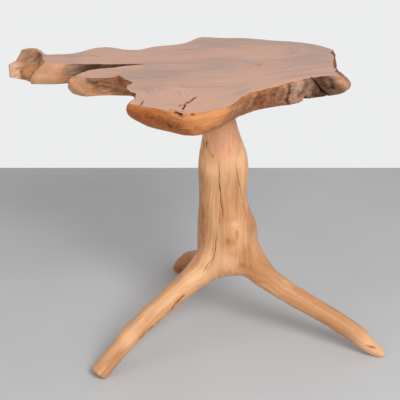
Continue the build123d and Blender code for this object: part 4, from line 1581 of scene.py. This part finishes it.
class SlabSettings(bpy.types.PropertyGroup):
    """Fineness and colours of the slab"""

    wall_step: length_setting("Wall step", "Distance between columns of the live edge", 0.0018, 0.001)
    top_step: length_setting("Top step", "Distance between points of the top", 0.0055, 0.002)
    edge_ease: length_setting("Eased edge", "How far the top edge is rounded", 0.0012, 0.0002)
    top_roughness: number_setting("Satin", "Roughness of the oiled top", 0.40, max=1, subtype="FACTOR")
    top_colour: colour_setting("Top", "Main colour of the top", (0.55, 0.315, 0.235))
    top_dark: colour_setting("Top shade", "Greyer zones of the top", (0.40, 0.245, 0.198))
    top_streak: colour_setting("Top streaks", "Lighter orange streaks", (0.64, 0.318, 0.185))
    sap_colour: colour_setting("Sapwood", "Orange line along the rim", (0.80, 0.360, 0.150))
    lip_colour: colour_setting("Lip", "Orange sapwood of the front lip", (0.62, 0.262, 0.095))
    lip_deep: colour_setting("Lip shade", "Deeper orange of the front lip", (0.53, 0.172, 0.036))
    lip_brown: colour_setting("Lip glaze", "Browner parts of the lip", (0.56, 0.130, 0.018))
    lip_mottling: colour_setting("Lip mottling", "Red-brown patches on the lip", (0.27, 0.055, 0.010))
    edge_colour: colour_setting("Edge", "Plain live edge", (0.43, 0.160, 0.052))
    edge_deep: colour_setting("Edge shade", "Deeper streaks of the live edge", (0.23, 0.085, 0.038))
    # Also the colour of the painted highlights on ridges, raised relief and the rim.
    edge_pale_and_highlight: colour_setting("Pale edge and highlight", "Pale scraped wood of the arms", (0.68, 0.36, 0.20))
    edge_red: colour_setting("Red edge", "Red-brown figure of the live edge", (0.27, 0.055, 0.012))
    # Brightened past the wood's own pale tone, as painted light.
    sawn_and_lit_colour: colour_setting("Sawn end", "Fresh sawn face of the end block", (1.0, 0.61, 0.38))
    bark_grey: colour_setting("Grey bark", "Weathered patches", (0.42, 0.310, 0.235))
    burl_colour: colour_setting("Burl", "Pinkish burl", (0.55, 0.26, 0.155))
    burl_deep: colour_setting("Burl shade", "Hollows of the burl", (0.15, 0.078, 0.056))
    # Colour of the painted shade in clefts, cracks and hollows, and of dark wood.
    shade_and_dark_wood_colour: colour_setting("Dark wood and shade", "Clefts, cracks and rough hollows", (0.040, 0.020, 0.014))


class StemSettings(bpy.types.PropertyGroup):
    """Fineness and colours of the stem"""

    skin_step: length_setting("Skin step", "Size of the stem's faces", 0.0028, 0.0015)
    crotch_rounds: IntProperty(
        name="Crotch smoothing", description="How far the legs blend into the trunk", default=600, min=0)
    stem_roughness: number_setting("Satin", "Roughness of the oiled stem", 0.42, max=1, subtype="FACTOR")
    stem_colour: colour_setting("Stem", "Main colour of the stem", (0.75, 0.400, 0.192))
    stem_deep: colour_setting("Stem shade", "Deeper streaks", (0.54, 0.250, 0.102))
    stem_pale: colour_setting("Stem light", "Pale streaks", (0.87, 0.510, 0.275))
    heart_colour: colour_setting("Heartwood", "Redder wood at the neck", (0.72, 0.340, 0.200))
    stem_stain: colour_setting("Stain", "Brown stains and sawn ends", (0.42, 0.120, 0.018))
    # Painted shade inside the cracks.
    crack_shade_colour: colour_setting("Cracks", "Inside of the cracks", (0.075, 0.035, 0.018))


class FixingSettings(bpy.types.PropertyGroup):
    """Sizes and colours of the hidden fixing"""

    screw_count: IntProperty(
        name="Screws", description="Round-headed screws under the slab", default=6, min=1)
    ring_radius: length_setting("Ring", "Radius of the ring of screws", 0.067, 0.01)
    head_radius: length_setting("Head", "Radius of a screw head", 0.006, 0.001)
    shank_radius: length_setting("Shank", "Radius of a screw's shank", 0.003, 0.0005)
    washer_radius: length_setting("Washer", "Outer radius of a washer", 0.008, 0.002)
    plate_colour: colour_setting("Plate", "Black satin paint", (0.050, 0.050, 0.055))
    steel_colour: colour_setting("Fixings", "Zinc plated steel", (0.62, 0.62, 0.60))


class TABLE_OT_stage(bpy.types.Operator):
    """Makes the camera, the floor and the studio light"""

    bl_idname = "table.make_stage"
    bl_label = "Stage"

    def execute(self, context):
        settings = context.scene.table_stage
        camera = new_object("camera", bpy.data.cameras.new("camera"))
        camera.data.lens = settings.camera_lens
        camera.data.sensor_width = 36.0
        camera.location = settings.camera_place
        camera.rotation_euler = (math.radians(90) - settings.camera_dip, 0, 0)
        context.scene.camera = camera
        context.scene.view_settings.view_transform = "Standard"
        wide, deep = settings.floor_size[0] / 2, settings.floor_size[1] / 2
        corners = [(-wide, -deep, 0), (wide, -deep, 0), (wide, deep, 0), (-wide, deep, 0)]
        floor = mesh_object("floor", corners, [(0, 1, 2, 3)])
        floor.data.materials.append(floor_material(settings))
        add_light("key", *KEY_LIGHT, settings.key_power)
        add_light("fill", *FILL_LIGHT, settings.fill_power)
        world_light(context.scene, settings)
        return {"FINISHED"}


def add_light(name, place, target, size, power):
    """A soft square lamp that looks at the target."""
    lamp = bpy.data.lights.new(name, "AREA")
    lamp.shape = "SQUARE"
    lamp.size = size
    lamp.energy = power
    holder = new_object(name, lamp)
    holder.location = place
    holder.rotation_euler = (Vector(target) - Vector(place)).to_track_quat("-Z", "Y").to_euler()


def floor_material(settings):
    """Plain matt grey floor with a very faint cloudiness."""
    material, make, shader = new_material("Plain Floor")
    cloud = make.spread(make.noise(make.place(), 3.0, 2), 0.3, 0.7, 0.97, 1.02)
    make.give(shader, {"Base Color": make.shade(settings.floor_colour, cloud), "Roughness": 0.9})
    return material


def world_light(scene, settings):
    """Even light from all round, with the backdrop's own colour for the camera and reflections."""
    world = bpy.data.worlds.new("room")
    world.use_nodes = True
    scene.world = world
    make = NodeBuilder(world.node_tree)
    back = world.node_tree.nodes["Background"]
    make.give(back, {"Color": (1, 1, 1, 1), "Strength": settings.sky_strength})
    shown = make.add("ShaderNodeBackground", {"Color": settings.backdrop_colour, "Strength": 1.0})
    path = make.add("ShaderNodeLightPath")
    seen = make.larger(path.outputs["Is Camera Ray"], path.outputs["Is Glossy Ray"])
    blend = make.add("ShaderNodeMixShader", {0: seen, 1: back.outputs[0], 2: shown.outputs[0]})
    make.give(world.node_tree.nodes["World Output"], {"Surface": blend.outputs[0]})


class TABLE_OT_slab(bpy.types.Operator):
    """Makes the live-edge slab"""

    bl_idname = "table.make_slab"
    bl_label = "Slab"

    def execute(self, context):
        settings = context.scene.table_slab
        piece = make_slab(settings)
        piece.data.materials.append(slab_material(settings))
        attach(piece, "root")
        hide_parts("slab_top")
        return {"FINISHED"}


class TABLE_OT_stem(bpy.types.Operator):
    """Makes the stem with its three legs"""

    bl_idname = "table.make_stem"
    bl_label = "Stem"

    def execute(self, context):
        settings = context.scene.table_stem
        piece = make_stem(settings)
        piece.data.materials.append(stem_material(settings))
        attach(piece, "root")
        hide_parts("tripod_base")
        return {"FINISHED"}


def lathe(name, profile, sides=32, closed=False):
    """A turned part from (radius, height) pairs, listed from the bottom up its outside."""
    angles = np.arange(sides) / sides * math.tau
    rings = [np.c_[np.cos(angles) * r, np.sin(angles) * r, np.full(sides, z)] for r, z in profile]
    faces = []
    for k in range(len(profile) if closed else len(profile) - 1):
        faces += band(k * sides, (k + 1) % len(profile) * sides, sides, clockwise=False)
    if not closed:
        faces.append(tuple(range(sides))[::-1])
        faces.append(tuple(len(profile) * sides - sides + i for i in range(sides)))
    return mesh_object(name, np.concatenate(rings), faces)


def cross_recess(reach, width, low, high):
    """The plus-shaped bit recess of a screw head, as a solid to cut away."""
    a, b = width / 2, reach / 2
    plan = [
        (a, a), (a, b), (-a, b), (-a, a), (-b, a), (-b, -a),
        (-a, -a), (-a, -b), (a, -b), (a, -a), (b, -a), (b, a),
    ]
    count = len(plan)
    points = [(x, y, low) for x, y in plan] + [(x * 0.6, y * 0.6, high) for x, y in plan]
    faces = band(0, count, count) + [tuple(range(count)), tuple(range(count, 2 * count))[::-1]]
    return mesh_object("recess", points, faces)


def cut_away(piece, tool):
    """Cuts the tool's solid out of the piece; the tool goes."""
    piece.modifiers.new("Cut", "BOOLEAN").object = tool
    apply_modifiers(piece)
    bpy.data.objects.remove(tool)


def ring_tree():
    """Geometry nodes that set copies of a part round a circle, each turned at random."""
    tree = bpy.data.node_groups.new("Ring Of Parts", "GeometryNodeTree")
    for kind, label in (
        ("Int", "Count"), ("Float", "Ring Radius"), ("Vector", "Centre"), ("Object", "Part"),
        ("Material", "Material"), ("Int", "Seed"),
    ):
        tree.interface.new_socket(label, in_out="INPUT", socket_type="NodeSocket" + kind)
    tree.interface.new_socket("Geometry", in_out="OUTPUT", socket_type="NodeSocketGeometry")
    make = NodeBuilder(tree)
    given = make.add("NodeGroupInput").outputs
    circle = make.add("GeometryNodeMeshCircle", {"Vertices": given["Count"], "Radius": given["Ring Radius"]})
    part = make.add("GeometryNodeObjectInfo", {"Object": given["Part"]})
    turn = make.add(
        "FunctionNodeRandomValue", {0: (0.0, 0.0, 0.0), 1: (0.0, 0.0, math.tau), "Seed": given["Seed"]},
        data_type="FLOAT_VECTOR",
    )
    copies = make.add("GeometryNodeInstanceOnPoints", {
        "Points": circle.outputs["Mesh"], "Instance": part.outputs["Geometry"], "Rotation": turn.outputs[0],
    })
    moved = make.add("GeometryNodeTransform", {
        "Geometry": copies.outputs[0], "Translation": given["Centre"],
    })
    real = make.add("GeometryNodeRealizeInstances", {"Geometry": moved.outputs[0]})
    values = {"Geometry": real.outputs[0], "Material": given["Material"]}
    finished = make.add("GeometryNodeSetMaterial", values)
    make.add("NodeGroupOutput", {0: finished.outputs[0]})
    return tree


def ring_of(part, settings, centre, material):
    """Bakes a ring of copies of the part and takes the single part away."""
    tree = bpy.data.node_groups.get("Ring Of Parts") or ring_tree()
    holder = new_object(part.name + "_ring", bpy.data.meshes.new(part.name + "_ring"))
    modifier = holder.modifiers.new("Ring", "NODES")
    modifier.node_group = tree
    values = {
        "Count": settings.screw_count, "Ring Radius": settings.ring_radius, "Centre": tuple(centre),
        "Part": part, "Material": material, "Seed": RING_SEED,
    }
    for item in tree.interface.items_tree:
        if item.in_out == "INPUT":
            modifier[item.identifier] = values[item.name]
    holder.update_tag()
    apply_modifiers(holder)
    bpy.data.objects.remove(part)
    if not holder.data.polygons:
        raise RuntimeError("the ring of parts came out empty")
    return holder


def slab_screw(settings):
    """A round-headed screw, with its head down and the washer's underside at height 0."""
    head, tall = settings.head_radius, WASHER_LOW.z - SCREW_LOW.z
    shank, length = settings.shank_radius, SCREW_HIGH.z - WASHER_LOW.z
    crown = [(head * across, -tall * down) for across, down in SCREW_CROWN]
    edge = [(head, 0.0), (shank, 0.0), (shank, length * 0.82), (shank * 0.15, length)]
    screw = lathe("slab_screw", crown + edge)
    cut_away(screw, cross_recess(head * 0.95, head * 0.20, -tall * 1.2, -tall * 0.35))
    return screw


def slab_washer(settings):
    """A flat washer with bevelled edges."""
    thick = WASHER_HIGH.z - WASHER_LOW.z
    bevel = thick * 0.2
    inner, outer = settings.shank_radius + WASHER_PLAY, settings.washer_radius
    return lathe("slab_washer", [
        (inner, bevel), (inner + bevel, 0.0), (outer - bevel, 0.0), (outer, bevel),
        (outer, thick - bevel), (outer - bevel, thick), (inner + bevel, thick), (inner, thick - bevel),
    ], closed=True)


class TABLE_OT_fixings(bpy.types.Operator):
    """Makes the ring of slab screws with their washers, and finishes the steel parts"""

    bl_idname = "table.make_fixings"
    bl_label = "Fixings"

    def execute(self, context):
        settings = context.scene.table_fixings
        paint = steel_material("Black Satin Paint", tuple(settings.plate_colour), 0.38, 0.0, (1, 1, 1))
        zinc = steel_material("Zinc Plate", tuple(settings.steel_colour), 0.25, 1.0, (1, 0.05, 1))
        for name, material in (
            ("mounting_plate", paint), ("coach_screw", zinc), ("coach_washer", zinc), ("trunk_screws", zinc),
        ):
            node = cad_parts[name]
            node.data.materials.clear()
            node.data.materials.append(material)
        centre = (SEAT.x, SEAT.y, WASHER_LOW.z)
        for part, name in ((slab_screw(settings), "slab_screws"), (slab_washer(settings), "slab_washers")):
            piece = ring_of(part, settings, centre, zinc)
            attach(piece, "root")
            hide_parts(name)
        return {"FINISHED"}


class TABLE_PT_panel(bpy.types.Panel):
    """Lists what the table is made of"""

    bl_idname = "TABLE_PT_panel"
    bl_label = "Tripod Table"
    bl_space_type = "VIEW_3D"
    bl_region_type = "UI"
    bl_category = "Table"

    def draw(self, context):
        for name in SETTINGS:
            box = self.layout.box()
            box.operator("table.make_" + name)
            group = getattr(context.scene, "table_" + name)
            for setting in group.__annotations__:
                box.prop(group, setting)


SETTINGS = {"stage": StageSettings, "slab": SlabSettings, "stem": StemSettings, "fixings": FixingSettings}
CLASSES = (
    *SETTINGS.values(), TABLE_OT_stage, TABLE_OT_slab, TABLE_OT_stem, TABLE_OT_fixings, TABLE_PT_panel,
)


def register():
    """Adds the operators, the panel and the settings to Blender."""
    for item in CLASSES:
        bpy.utils.register_class(item)
    for name, group in SETTINGS.items():
        setattr(bpy.types.Scene, "table_" + name, PointerProperty(type=group))


def unregister():
    """Takes them away again."""
    for name in SETTINGS:
        delattr(bpy.types.Scene, "table_" + name)
    for item in reversed(CLASSES):
        bpy.utils.unregister_class(item)


def main():
    """Makes the whole table."""
    register()
    bpy.ops.table.make_stage()
    bpy.ops.table.make_slab()
    bpy.ops.table.make_stem()
    bpy.ops.table.make_fixings()


if __name__ == "__main__":
    main()
